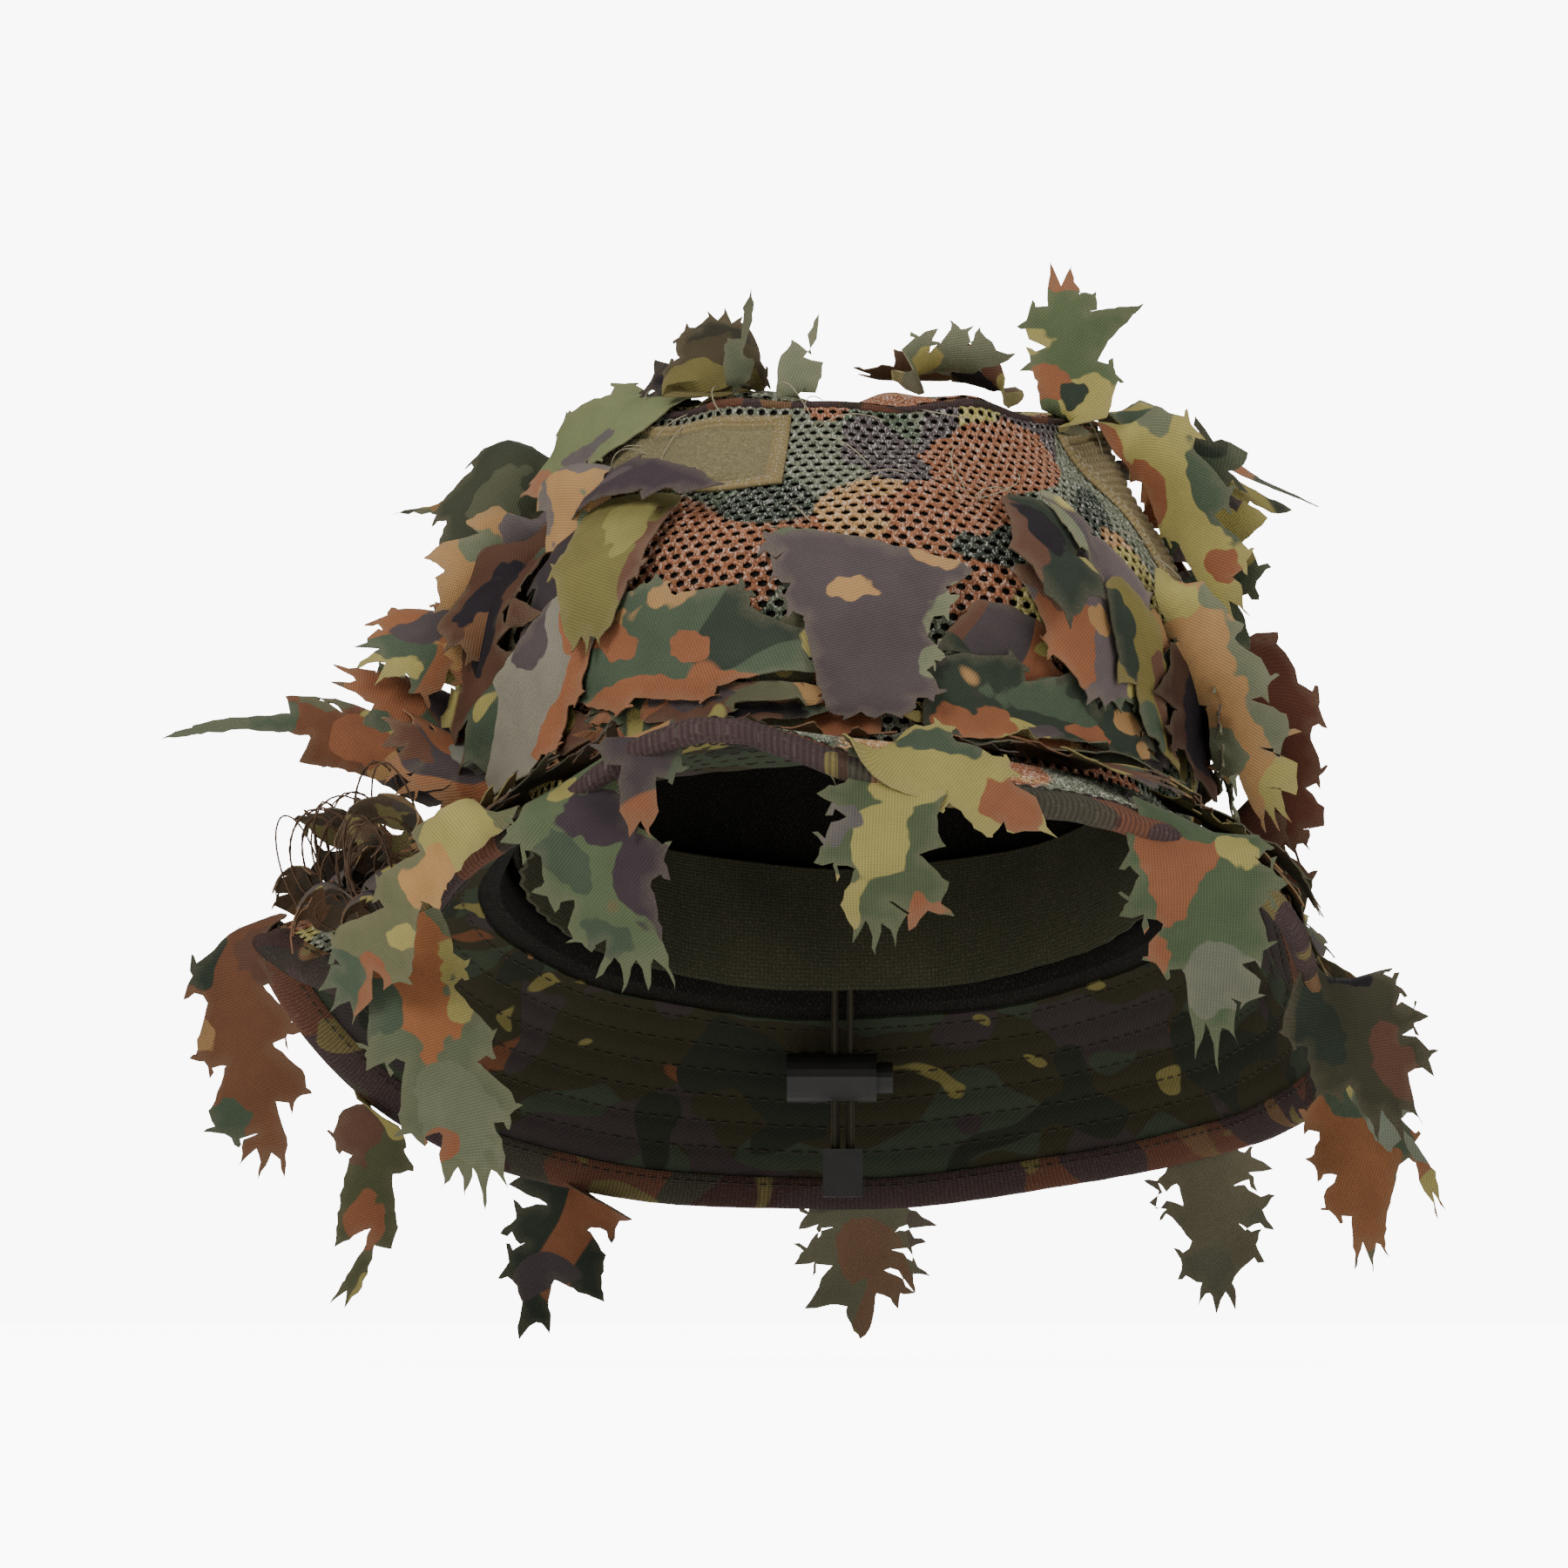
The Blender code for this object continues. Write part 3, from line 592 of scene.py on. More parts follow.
def plastic_material():
    n = Nodes("lock_plastic")
    place = n.add("NewGeometry").outputs["Position"]
    grain = n.noise(place, 3800, 3)
    tone = n.mix(n.noise(place, 260, 3), linear((34, 33, 31)), linear((46, 45, 41)))
    return n.finish(tone, n.math("MULTIPLY_ADD", grain, 0.2, 0.38), n.bump(grain, 0.25, 0.00008), specular=0.5)


def steel_material():
    n = Nodes("spring_steel")
    place = n.add("NewGeometry").outputs["Position"]
    drawn = n.noise(place, 3000, 2)
    tone = n.mix(drawn, (0.45, 0.45, 0.46), (0.65, 0.65, 0.66))
    return n.finish(tone, n.math("MULTIPLY_ADD", drawn, 0.15, 0.2), n.bump(drawn, 0.2, 0.00005), metallic=1.0)


MATERIALS = {
    "leaf": leaf_material(),
    "mesh": mesh_material(),
    "twill": twill_material(),
    "binding": tape_material("edge_binding", (82, 58, 50), (38, 30, 32), 0.8, 0.0, 0.35, 0.05),
    "sweatband": tape_material("cotton_tape", (84, 83, 62), (58, 58, 43), 1.1, 0.0, 0.0, 0.1),
    "lining": tape_material("dark_lining", (40, 38, 33), (22, 21, 18), 1.0, 0.5, 0.0, 0.04),
    "webbing": tape_material("ribbed_loop", (150, 134, 98), (88, 78, 54), 1.5, 0.0),
    "pile_edge": tape_material("sewn_border", (156, 138, 96), (104, 90, 60), 1.2, 1.57),
    "pile": pile_material(),
    "pale_thread": thread_material("pale_thread", (176, 166, 140), (120, 112, 90)),
    "brown_thread": thread_material("brown_thread", (96, 70, 48), (58, 42, 32)),
    "dark_thread": thread_material("dark_thread", (70, 62, 48), (44, 40, 32)),
    "cord": cord_material(),
    "plastic": plastic_material(),
    "steel": steel_material(),
    "interlining": tape_material("woven_stiffener", (198, 196, 186), (160, 158, 150), 1.0, 0.0),
}


# ---------------------------------------------------------------- mesh cloth

MESH_PITCH, MESH_HOLE = 3.0, 0.98


def give_marks(piece, flat, marks=()):
    """Stores marks, in the flat millimetres of a piece's cloth, for its material to read."""
    for k in range(MARKS):
        mark = marks[k] if k < len(marks) else (DARK, 0, -3000, 1, 1, 0)
        give(piece, f"mark_{k}", mark_field(flat, mark), "FLOAT")
        give(piece, f"mark_tone_{k}", np.tile((*linear(mark[0]), 1.0), (len(flat), 1)), "FLOAT_COLOR")


def mark_field(flat, mark):
    """How deep each point of the flat cloth lies inside a printed mark, in mm."""
    _, u, v, wide, tall, turn = mark
    c, s = math.cos(math.radians(turn)), math.sin(math.radians(turn))
    x, y = flat[:, 0] - u, flat[:, 1] - v
    return (1 - np.hypot((x * c + y * s) / wide, (y * c - x * s) / tall)) * min(wide, tall)


def mesh_cloth(name, node, start, end, low, high, radius, marks=()):
    """Open printed mesh with hexagonal cells, between two azimuths and two runs."""
    across = math.radians(end - start) * radius
    columns = max(3, round(across / MESH_PITCH))
    pitch = across / columns
    rise = pitch * math.sqrt(3) / 2
    low_at = low if callable(low) else lambda a: np.full_like(a, low)
    high_at = high if callable(high) else lambda a: np.full_like(a, high)
    sample = np.linspace(start, end, 90)
    tall = float(np.mean(high_at(sample) - low_at(sample)))
    rows = max(3, round(tall / rise))
    rise = tall / rows
    i, j = np.meshgrid(np.arange(columns + 1), np.arange(rows), indexing="ij")
    i, j = i.ravel(), j.ravel()
    whole = end - start >= 360
    if whole:
        rows -= rows % 2
        keep = (j < rows) & (i < columns)
        i, j = i[keep], j[keep]
    centre = np.stack([(i + 0.5 * (j % 2)) * pitch, (j + 0.5) * rise], -1)
    corner = np.radians(30 + 60 * np.arange(6))
    hexagon = np.stack([np.cos(corner), np.sin(corner) * rise / (pitch * 0.8660254)], -1)
    outer = centre[:, None] + hexagon[None] * pitch / math.sqrt(3)
    wide = centre[:, None] + hexagon[None] * MESH_HOLE * 1.1
    narrow = centre[:, None] + hexagon[None] * MESH_HOLE * 0.92
    cells = len(centre)
    key = np.round(outer.reshape(-1, 2) / 0.02).astype(np.int64)
    if whole:
        key[:, 0] %= int(round(columns * pitch / 0.02))
    # Corners shared by three cells become one point.
    merged, first, index = np.unique(np.round(key / 8).astype(np.int64), axis=0, return_index=True, return_inverse=True)
    index = index.reshape(cells, 6)
    shared = outer.reshape(-1, 2)[first]
    count = len(shared)
    flat = np.concatenate([shared, shared, wide.reshape(-1, 2), narrow.reshape(-1, 2)])
    lift = np.concatenate([np.full(count, 0.12), np.full(count, -0.62), np.full(cells * 6, -0.02), np.full(cells * 6, -0.55)])
    azimuth = start + np.degrees(flat[:, 0] / radius)
    if not whole:
        azimuth = np.clip(azimuth, start, end)
    part = np.clip(flat[:, 1] / tall, 0, 1)
    bottom, top = low_at(azimuth), high_at(azimuth)
    run = bottom + (top - bottom) * part
    points = skin(azimuth, run, lift)
    hole = 2 * count + 6 * np.arange(cells)[:, None] + np.arange(6)[None]
    under = hole + 6 * cells
    nxt = (np.arange(6) + 1) % 6
    quads = np.concatenate([
        np.stack([index, index[:, nxt], hole[:, nxt], hole], -1).reshape(-1, 4),
        np.stack([hole, hole[:, nxt], under[:, nxt], under], -1).reshape(-1, 4),
        np.stack([under, under[:, nxt], index[:, nxt] + count, index + count], -1).reshape(-1, 4),
    ])
    piece = new_piece(name, points, quads, "hat", MATERIALS["mesh"])
    fix_normals(piece)
    coordinates = np.stack([flat[:, 0], flat[:, 1], np.zeros(len(flat))], -1) * MM
    give(piece, "flat", coordinates)
    give_marks(piece, np.stack([(azimuth - (360 if start > 180 else 0)) * math.radians(radius), run], -1), marks)
    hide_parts(node)
    return piece


def make_crown():
    wall_top = lambda a: rim_run(a) + 1.0
    mesh_cloth("crown_front_mesh", "crown_front_panel", -90, 90, wall_top, 0.4, 84, (
        (RUST, -4, -106, 8, 13, 10), (PURPLE, 9, -82, 9, 14, -20), ((56, 50, 58), 34, -118, 26, 7, 0),
        (RUST, 38, -84, 23, 13, -30), (RUST, 24, -63, 21, 8, -14),
    ))
    mesh_cloth("crown_back_mesh", "crown_back_panel", 90, 270, wall_top, 0.4, 84)
    make_crown_top()
    lining = closed_sheet(
        "crown_lining", slab(spread(wall_top, 2.4, 24), -0.95, -1.15), 180, MATERIALS["lining"]
    )
    piping = closed_sheet("crown_rim_piping", piping_rows, 260, MATERIALS["binding"])
    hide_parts("crown_top_piping")
    for side, middle in (("left", -90), ("right", 90)):
        tape = closed_sheet(
            f"side_tape_{side}", slab(spread(lambda a: rim_run(a) + 6, -12, 20), -1.4, -1.9), 8,
            MATERIALS["sweatband"], middle - 4, middle + 4,
        )
        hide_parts(f"side_seam_tape_{side}")
    band = closed_sheet("sewn_sweatband", sweatband_rows, 200, MATERIALS["sweatband"])
    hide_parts("sweatband")


def piping_rows(azimuth):
    rows = []
    for k in range(10):
        turn = 2 * math.pi * k / 10
        rows.append((rim_run(azimuth) + 1.1 * math.cos(turn), -0.1 + 1.0 * math.sin(turn)))
    return rows


def sweatband_rows(azimuth):
    pucker = 0.5 * np.sin(np.radians(azimuth) * 46)
    outer = [(run, -6.2 + pucker * (run + 33) / 31) for run in np.linspace(-33, -2, 12)]
    inner = [(run, -7.1 + pucker * (run + 33) / 31) for run in np.linspace(-2, -33, 12)]
    return outer + inner


def make_crown_top():
    """The crown's top: hexagonal mesh on a flat oval, bent onto the dome."""
    half_width, half_length = CROWN_TOP_WIDTH / 2 - 1, CROWN_TOP_LENGTH / 2 - 1
    pitch = MESH_PITCH
    rise = pitch * math.sqrt(3) / 2
    centres = []
    for j in range(-40, 41):
        for i in range(-40, 41):
            x, y = (i + 0.5 * (j % 2)) * pitch, j * rise
            if (x / (half_width - 1.5)) ** 2 + (y / (half_length - 1.5)) ** 2 <= 1:
                centres.append((x, y))
    centre = np.array(centres)
    corner = np.radians(30 + 60 * np.arange(6))
    hexagon = np.stack([np.cos(corner), np.sin(corner)], -1)
    outer = centre[:, None] + hexagon[None] * pitch / math.sqrt(3)
    cells = len(centre)
    key = np.round(outer.reshape(-1, 2) / 0.2).astype(np.int64)
    merged, first, index = np.unique(key, axis=0, return_index=True, return_inverse=True)
    index = index.reshape(cells, 6)
    shared = outer.reshape(-1, 2)[first]
    count = len(shared)
    wide = centre[:, None] + hexagon[None] * MESH_HOLE * 1.1
    narrow = centre[:, None] + hexagon[None] * MESH_HOLE * 0.92
    flat = np.concatenate([shared, shared, wide.reshape(-1, 2), narrow.reshape(-1, 2)])
    lift = np.concatenate([np.full(count, 0.12), np.full(count, -0.62), np.full(cells * 6, -0.02), np.full(cells * 6, -0.55)])
    points = top_points(flat, lift)
    hole = 2 * count + 6 * np.arange(cells)[:, None] + np.arange(6)[None]
    under = hole + 6 * cells
    nxt = (np.arange(6) + 1) % 6
    quads = np.concatenate([
        np.stack([index, index[:, nxt], hole[:, nxt], hole], -1).reshape(-1, 4),
        np.stack([hole, hole[:, nxt], under[:, nxt], under], -1).reshape(-1, 4),
        np.stack([under, under[:, nxt], index[:, nxt] + count, index + count], -1).reshape(-1, 4),
    ])
    piece = new_piece("crown_top_mesh", points, quads, "hat", MATERIALS["mesh"])
    fix_normals(piece)
    give(piece, "flat", np.column_stack([flat + 300, np.zeros(len(flat))]) * MM)
    give_marks(piece, flat)
    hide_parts("crown_top_panel")
    rings, columns = 12, 96
    inside = []
    for lift_at in (-0.95, -1.15):
        for k in range(1, rings + 1):
            part = k / rings
            for c in range(columns):
                a = 2 * math.pi * c / columns
                inside.append((half_width * part * math.sin(a), half_length * part * math.cos(a), lift_at))
    inside = np.array(inside)
    faces = []
    for layer in range(2):
        first = layer * rings * columns
        for r in range(rings - 1):
            for c in range(columns):
                d = (c + 1) % columns
                faces.append([first + r * columns + c, first + r * columns + d,
                              first + (r + 1) * columns + d, first + (r + 1) * columns + c])
        faces.append([first + c for c in range(columns)])
    last = (rings - 1) * columns
    for c in range(columns):
        d = (c + 1) % columns
        faces.append([last + c, last + d, last + d + rings * columns, last + c + rings * columns])
    lining = new_piece("crown_top_lining", top_points(inside[:, :2], inside[:, 2]), faces, "hat", MATERIALS["lining"])
    fix_normals(lining)
    give(lining, "flat", np.column_stack([inside[:, :2], np.zeros(len(inside))]) * MM)


def top_points(flat, lift):
    """Points on the crown's top, from places on the plain oval in mm."""
    azimuth = np.degrees(np.arctan2(flat[:, 0], -flat[:, 1]))
    limit = ellipse(np.radians(azimuth), CROWN_TOP_WIDTH, CROWN_TOP_LENGTH)
    part = np.clip(np.hypot(flat[:, 0], flat[:, 1]) / limit, 0, 1)
    centre = np.interp(azimuth % 360, np.arange(AZIMUTHS) * 360 / AZIMUTHS, CENTRE_RUN, period=360)
    run = centre + (rim_run(azimuth) - centre) * part
    return skin(azimuth, run, lift)


STITCH_ROWS = [8, 15, 22, 29, 36, 43, 50]


def make_brim():
    mesh_cloth("brim_top_mesh", "brim_upper_layer", 0, 360, 0.6, 56.0, 108)
    backing = closed_sheet(
        "brim_backing", slab(spread(0.6, 55.5, 14), -1.0, -1.6), 240, MATERIALS["lining"]
    )
    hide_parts("brim_interlining")

    seam = closed_sheet("seam_tape", slab(spread(-5, 6, 12), -2.0, -2.5), 240, MATERIALS["lining"])

    def quilted(azimuth):
        runs = np.linspace(4, 56, 66)
        def puff(run):
            nearest = min(abs(run - row) for row in STITCH_ROWS)
            return 0.55 * min(1, nearest / 2.5)
        outer = [(run, LOWER_BRIM_LIFT + 1.0) for run in runs[::5]]
        wobble = 0.12 * np.sin(np.radians(azimuth) * 61)
        inner = [(run, LOWER_BRIM_LIFT + 0.35 - puff(run) + wobble) for run in runs[::-1]]
        return outer + inner

    lower = closed_sheet("brim_underside", quilted, 300, MATERIALS["twill"])
    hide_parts("brim_lower_layer")

    def fold(azimuth):
        """The binding's section: over the top, round the edge and back underneath, then inside again."""
        ripple = 0.25 * np.sin(np.radians(azimuth) * 83) + 0.2 * np.sin(np.radians(azimuth) * 37 + 1)
        outside = [(-9, 0.35), (-8.6, 0.75), (-6, 0.95), (-3, 0.9), (-1.2, 0.5), (-0.2, -0.6), (-0.2, -2.2),
                   (-1.2, -3.7), (-3, -4.3), (-6, -4.35), (-8.6, -4.1), (-9, -3.7)]
        inside = [(-8, -3.6), (-3, -3.6), (-1.6, -2.6), (-1.2, -1.5), (-1.6, -0.3), (-3, 0.3), (-8, 0.3)]
        rows = [(BRIM_WIDTH + at, lift + ripple * 0.5) for at, lift in outside]
        return rows + [(BRIM_WIDTH + at, lift + ripple * 0.5) for at, lift in inside]

    binding = closed_sheet("edge_binding", fold, 480, MATERIALS["binding"], sharp=70)
    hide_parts("brim_binding")


# ---------------------------------------------------------------- stitches and threads

def tube(path, radius, sides=5, taper=True):
    """Points and faces of a thin round thread along a path."""
    path = np.asarray(path, float)
    tangent = np.gradient(path, axis=0)
    tangent /= np.maximum(np.linalg.norm(tangent, axis=1), 1e-12)[:, None]
    helper = np.array([0.3, 0.2, 0.93]) if abs(tangent[0][2]) < 0.9 else np.array([1.0, 0, 0])
    points, faces = [], []
    for k, (place, ahead) in enumerate(zip(path, tangent)):
        side = np.cross(ahead, helper)
        side /= max(np.linalg.norm(side), 1e-9)
        up = np.cross(side, ahead)
        size = radius * (0.35 if taper and k in (0, len(path) - 1) else 1.0)
        for s in range(sides):
            turn = 2 * math.pi * s / sides
            points.append(place + (side * math.cos(turn) + up * math.sin(turn)) * size)
    for k in range(len(path) - 1):
        for s in range(sides):
            t = (s + 1) % sides
            faces.append((k * sides + s, k * sides + t, (k + 1) * sides + t, (k + 1) * sides + s))
    faces.append(list(range(sides))[::-1])
    faces.append([(len(path) - 1) * sides + s for s in range(sides)])
    return points, faces


class Heap:
    """Many small shapes gathered into one piece."""

    def __init__(self):
        self.points, self.faces = [], []

    def add(self, shape):
        first = len(self.points)
        self.points.extend(shape[0])
        self.faces.extend([[first + i for i in face] for face in shape[1]])

    def piece(self, name, material, body="hat"):
        return new_piece(name, self.points, self.faces, body, material)


def stitch_row(heap, azimuths, runs, lift, length=2.3, gap=1.1, radius=0.22, rise=0.3):
    """A row of sewn stitches along a line given in hat coordinates."""
    line = skin(azimuths, runs, lift)
    steps = np.linalg.norm(np.diff(line, axis=0), axis=1) / MM
    along = np.concatenate([[0], np.cumsum(steps)])
    azimuths = np.broadcast_to(azimuths, along.shape)
    runs = np.broadcast_to(runs, along.shape)
    at = 0.0
    while at + length < along[-1]:
        where = at + length * np.array([0, 0.2, 0.5, 0.8, 1])
        a, r = np.interp(where, along, azimuths), np.interp(where, along, runs)
        off = lift + rise * np.array([-0.6, 0.6, 0.9, 0.6, -0.6])
        heap.add(tube(skin(a, r, off), radius * MM, 4))
        at += length + gap


THREAD_LOOPS = 22


def make_sewing():
    around = np.linspace(0, 360, 721)
    heap = Heap()
    stitch_row(heap, around, np.full(721, BRIM_WIDTH - 7.2), 0.95)
    stitch_row(heap, around, np.full(721, BRIM_WIDTH - 7.2), -4.35, rise=-0.3)
    for row in STITCH_ROWS:
        stitch_row(heap, around, np.full(721, float(row)), LOWER_BRIM_LIFT + 0.2, 2.8, 1.4, 0.2, -0.3)
    piece = heap.piece("brim_stitches", MATERIALS["dark_thread"])


def loose_thread(rng, azimuth, run, length, reach):
    """A thread end that leaves the cloth and curls back towards it."""
    steps = np.linspace(0, 1, 14)
    turn = rng.uniform(0, 2 * math.pi)
    swirl = rng.uniform(-2.2, 2.2)
    sideways = np.cumsum(np.cos(turn + swirl * steps)) / 14 * length
    along = np.cumsum(np.sin(turn + swirl * steps)) / 14 * length
    return skin(azimuth + sideways / 1.5, run + along, 0.4 + reach * np.sin(steps * math.pi * 0.85))


def thread_loop(rng, azimuth, run, height):
    """A loop of pulled thread that stands off the brim, in world metres."""
    base = skin(azimuth, run, 3).reshape(3)
    turn = np.linspace(0, 2 * math.pi * rng.choice((1, 1.5, 2)), 30)
    wide, lean = rng.uniform(4, 9), rng.uniform(-0.5, 0.5)
    up = height * (1 - np.cos(turn)) / 2
    return base + np.stack([
        wide * np.sin(turn + lean) + up * lean, 2.5 * np.sin(turn * 0.7 + wide) - 0.3 * up, up,
    ], -1) * MM


def make_threads():
    rng = random.Random(29)
    pale, brown = Heap(), Heap()
    for _ in range(26):
        azimuth, run = rng.uniform(-55, 60), rng.uniform(-112, -60)
        pale.add(tube(loose_thread(rng, azimuth, run, rng.uniform(8, 22), rng.uniform(1, 5)), 0.14 * MM, 4))
    for _ in range(THREAD_LOOPS):
        azimuth, run = rng.uniform(-80, -58), rng.uniform(26, 44)
        brown.add(tube(thread_loop(rng, azimuth, run, rng.uniform(8, 27)), 0.24 * MM, 5))
    for name, heap, material in (("loose_pale_threads", pale, "pale_thread"), ("pulled_brown_threads", brown, "brown_thread")):
        heap.piece(name, MATERIALS[material])


# ---------------------------------------------------------------- hook-and-loop panels

def border_strip(name, path, width, lift, height, material):
    """Hands back the settings of a sewn border along a path of (azimuth, run); it builds nothing."""
    return name, path, width, lift, height, material


def laid_place(azimuth, run, heading):
    """Maps flat (u across, v along) millimetres onto hat coordinates from a root."""
    turn = math.radians(heading)

    def place(u, v):
        u, v = np.asarray(u, float), np.asarray(v, float)
        run_here = run + v * math.cos(turn) - u * math.sin(turn)
        sideways = v * math.sin(turn) + u * math.cos(turn)
        away = np.maximum(look_up((OUT,), azimuth, run_here)[0], 30)
        return azimuth + np.degrees(sideways / away), run_here

    return place


def panel(name, node, place, width, length, material, border=2.2, lift=0.5, ribs=0.0):
    """A sewn panel: a low cushion of pile inside a raised ribbed border."""
    fineness = 0.45 if ribs else 1.0
    columns, rows = int(width / 1.0) + 1, int(length / fineness) + 1
    u = np.linspace(-width / 2, width / 2, columns)
    v = np.linspace(0, length, rows)
    uu, vv = np.meshgrid(u, v)
    inset = np.minimum(np.minimum(uu + width / 2, width / 2 - uu), np.minimum(vv, length - vv))
    groove = np.exp(-(((inset - border - 0.4) / 0.5) ** 2))
    ridge = 0.95 * np.sin(np.clip(inset / border, 0, 1) * math.pi) ** 0.7
    field = np.clip((inset - border - 0.5) / 1.5, 0, 1) * 0.9
    height = 0.15 + ridge + field - 0.4 * groove + ribs * np.sin(vv * 2 * math.pi / 2.4) * np.clip(inset / 1.5, 0, 1)
    azimuth, run = place(uu.ravel(), vv.ravel())
    top = skin(azimuth, run, lift + height.ravel())
    bottom = skin(azimuth, run, lift - 0.3)
    count = columns * rows
    faces = grid_faces(columns, rows, False)
    faces += [[i + count for i in reversed(face)] for face in faces]
    edge = [c for c in range(columns)] + [r * columns + columns - 1 for r in range(1, rows)]
    edge += [(rows - 1) * columns + c for c in range(columns - 2, -1, -1)]
    edge += [r * columns for r in range(rows - 2, 0, -1)]
    for a, b in zip(edge, edge[1:] + edge[:1]):
        faces.append([a, b, b + count, a + count])
    piece = new_piece(name, np.concatenate([top, bottom]), faces, "hat", material)
    fix_normals(piece)
    piece.data.materials.append(MATERIALS["pile_edge"])
    on_border = (inset < border + 0.3).ravel()
    both = np.concatenate([on_border, on_border])
    for polygon in piece.data.polygons:
        polygon.material_index = 1 if all(both[i] for i in polygon.vertices) else 0
    flat = np.stack([uu.ravel(), vv.ravel(), np.zeros(count)], -1) * MM
    give(piece, "flat", np.concatenate([flat, flat]))
    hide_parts(node)
    heap = Heap()
    lines = (
        (np.full(60, width / 2 - 1.2), np.linspace(1, length - 1, 60)),
        (np.full(60, 1.2 - width / 2), np.linspace(1, length - 1, 60)),
        (np.linspace(1.2 - width / 2, width / 2 - 1.2, 60), np.full(60, 1.2)),
        (np.linspace(1.2 - width / 2, width / 2 - 1.2, 60), np.full(60, length - 1.2)),
    )
    for line in lines:
        stitch_row(heap, *place(*line), lift + 0.85, 1.7, 0.7, 0.2, 0.25)
    heap.piece(name + "_stitches", MATERIALS["pale_thread"])


def make_panels():
    middle, width = -37.5, 61
    def front(u, v):
        azimuth = middle + np.asarray(u, float) / width * 57
        return azimuth, rim_run(azimuth) + 3.5 + np.asarray(v, float)
    panel("loop_panel_front_left_pile", "loop_panel_front_left", front, width, 25, MATERIALS["pile"], 3.2)
    panel(
        "loop_panel_right_webbing", "loop_panel_right", laid_place(58, -106, 18), 26, 62, MATERIALS["webbing"], 2.0,
        ribs=0.32,
    )


# ---------------------------------------------------------------- leaves

def lobe_points(side, v, edge, reach, aim, teeth, wide):
    """One lobe of a cut leaf: out from the body's edge along aim degrees, ending in pointed teeth."""
    turn = math.radians(aim)
    ahead = (side * math.cos(turn), math.sin(turn))
    across = (-side * math.sin(turn), math.cos(turn))

    def at(out, over):
        return (side * edge + ahead[0] * out + across[0] * over, v + ahead[1] * out + across[1] * over)

    points = [at(0, -wide * 0.42), at(reach * 0.45, -wide * 0.24)]
    for k in range(teeth):
        over = ((k + 0.5) / teeth - 0.5) * wide * 0.95
        far = reach * (1.0 - 1.1 * abs(over) / wide) if teeth > 1 else reach
        if k:
            points.append(at(far * 0.72, over - wide * 0.5 / teeth))
        points.append(at(far * 0.86, over * 0.9 - wide * 0.10))
        points.append(at(far * 1.12, over * 1.35))
        points.append(at(far * 0.84, over * 0.9 + wide * 0.10))
    return points + [at(reach * 0.45, wide * 0.24), at(0, wide * 0.42)]


def body_at(body, part):
    return float(np.interp(part, np.linspace(0, 1, len(body)), body))


def leaf_outline(seed, length, body, right, left, tip, root=(0, 0), bend=(0, 0, 0)):
    """A cut leaf's outline in mm, root at the origin and tip along +v. A lobe is (place along, reach, aim, teeth)."""
    rng = random.Random(seed)
    halves = []
    for side, lobes, start in ((1, right, root[1]), (-1, left, root[0])):
        line = [(side * body[0], start)]
        room = length / (len(lobes) + 1)
        for place, reach, aim, teeth in lobes:
            v = place * length
            edge = body_at(body, place) * 0.92
            wide = min(room * 1.15, reach * 1.5 + 3)
            line += lobe_points(side, v, edge, reach * rng.uniform(0.9, 1.1), aim + rng.uniform(-6, 6), teeth, wide)
        line.append((side * body[-1], length * 0.9))
        halves.append(line)
    reach, teeth, wide = tip
    end = [(u, v) for v, u in (
        (length * 0.9 + (x), y) for y, x in lobe_tip(rng, reach, teeth, wide)
    )]
    outline = np.array(halves[0] + end + halves[1][::-1])
    part = np.clip(outline[:, 1] / length, 0, 1.2)
    outline[:, 0] += np.interp(part, (0, 0.5, 1), bend)
    return soften(outline, rng)


def lobe_tip(rng, reach, teeth, wide):
    """The leaf's tip as (u, v) from its last full width: pointed fingers from right to left."""
    points = []
    for k in range(teeth):
        over = (0.5 - (k + 0.5) / teeth) * wide if teeth > 1 else 0.0
        far = reach * (1.0 - 0.7 * abs(over) / wide + rng.uniform(-0.1, 0.12))
        if k:
            points.append((over + wide * 0.5 / teeth, far * 0.35))
        points.append((over + wide * 0.16 / teeth + over * 0.1, far * 0.7))
        points.append((over * 1.35, far * 1.05))
        points.append((over - wide * 0.2 / teeth + over * 0.1, far * 0.6))
    return points


def random_cut(seed, length, width):
    """The lobes of a leaf that isn't shaped one by one."""
    rng = random.Random(seed)
    half = width / 2
    body = tuple(half * x * rng.uniform(0.9, 1.1) for x in (0.42, 0.58, 0.6, 0.42, 0.22))
    sides = []
    for _ in range(2):
        count = rng.choice((2, 3, 3, 4))
        lobes = []
        for k in range(count):
            place = 0.18 + 0.66 * (k + rng.uniform(0.2, 0.8)) / count
            full = math.sin(math.pi * (0.12 + 0.76 * place))
            lobes.append((place, half * rng.uniform(0.42, 0.72) * full, rng.uniform(-5, 50), rng.choice((1, 2, 2, 3))))
        sides.append(lobes)
    return dict(body=body, right=sides[0], left=sides[1], tip=(length * 0.16, rng.choice((1, 2, 3)), half * 0.7))


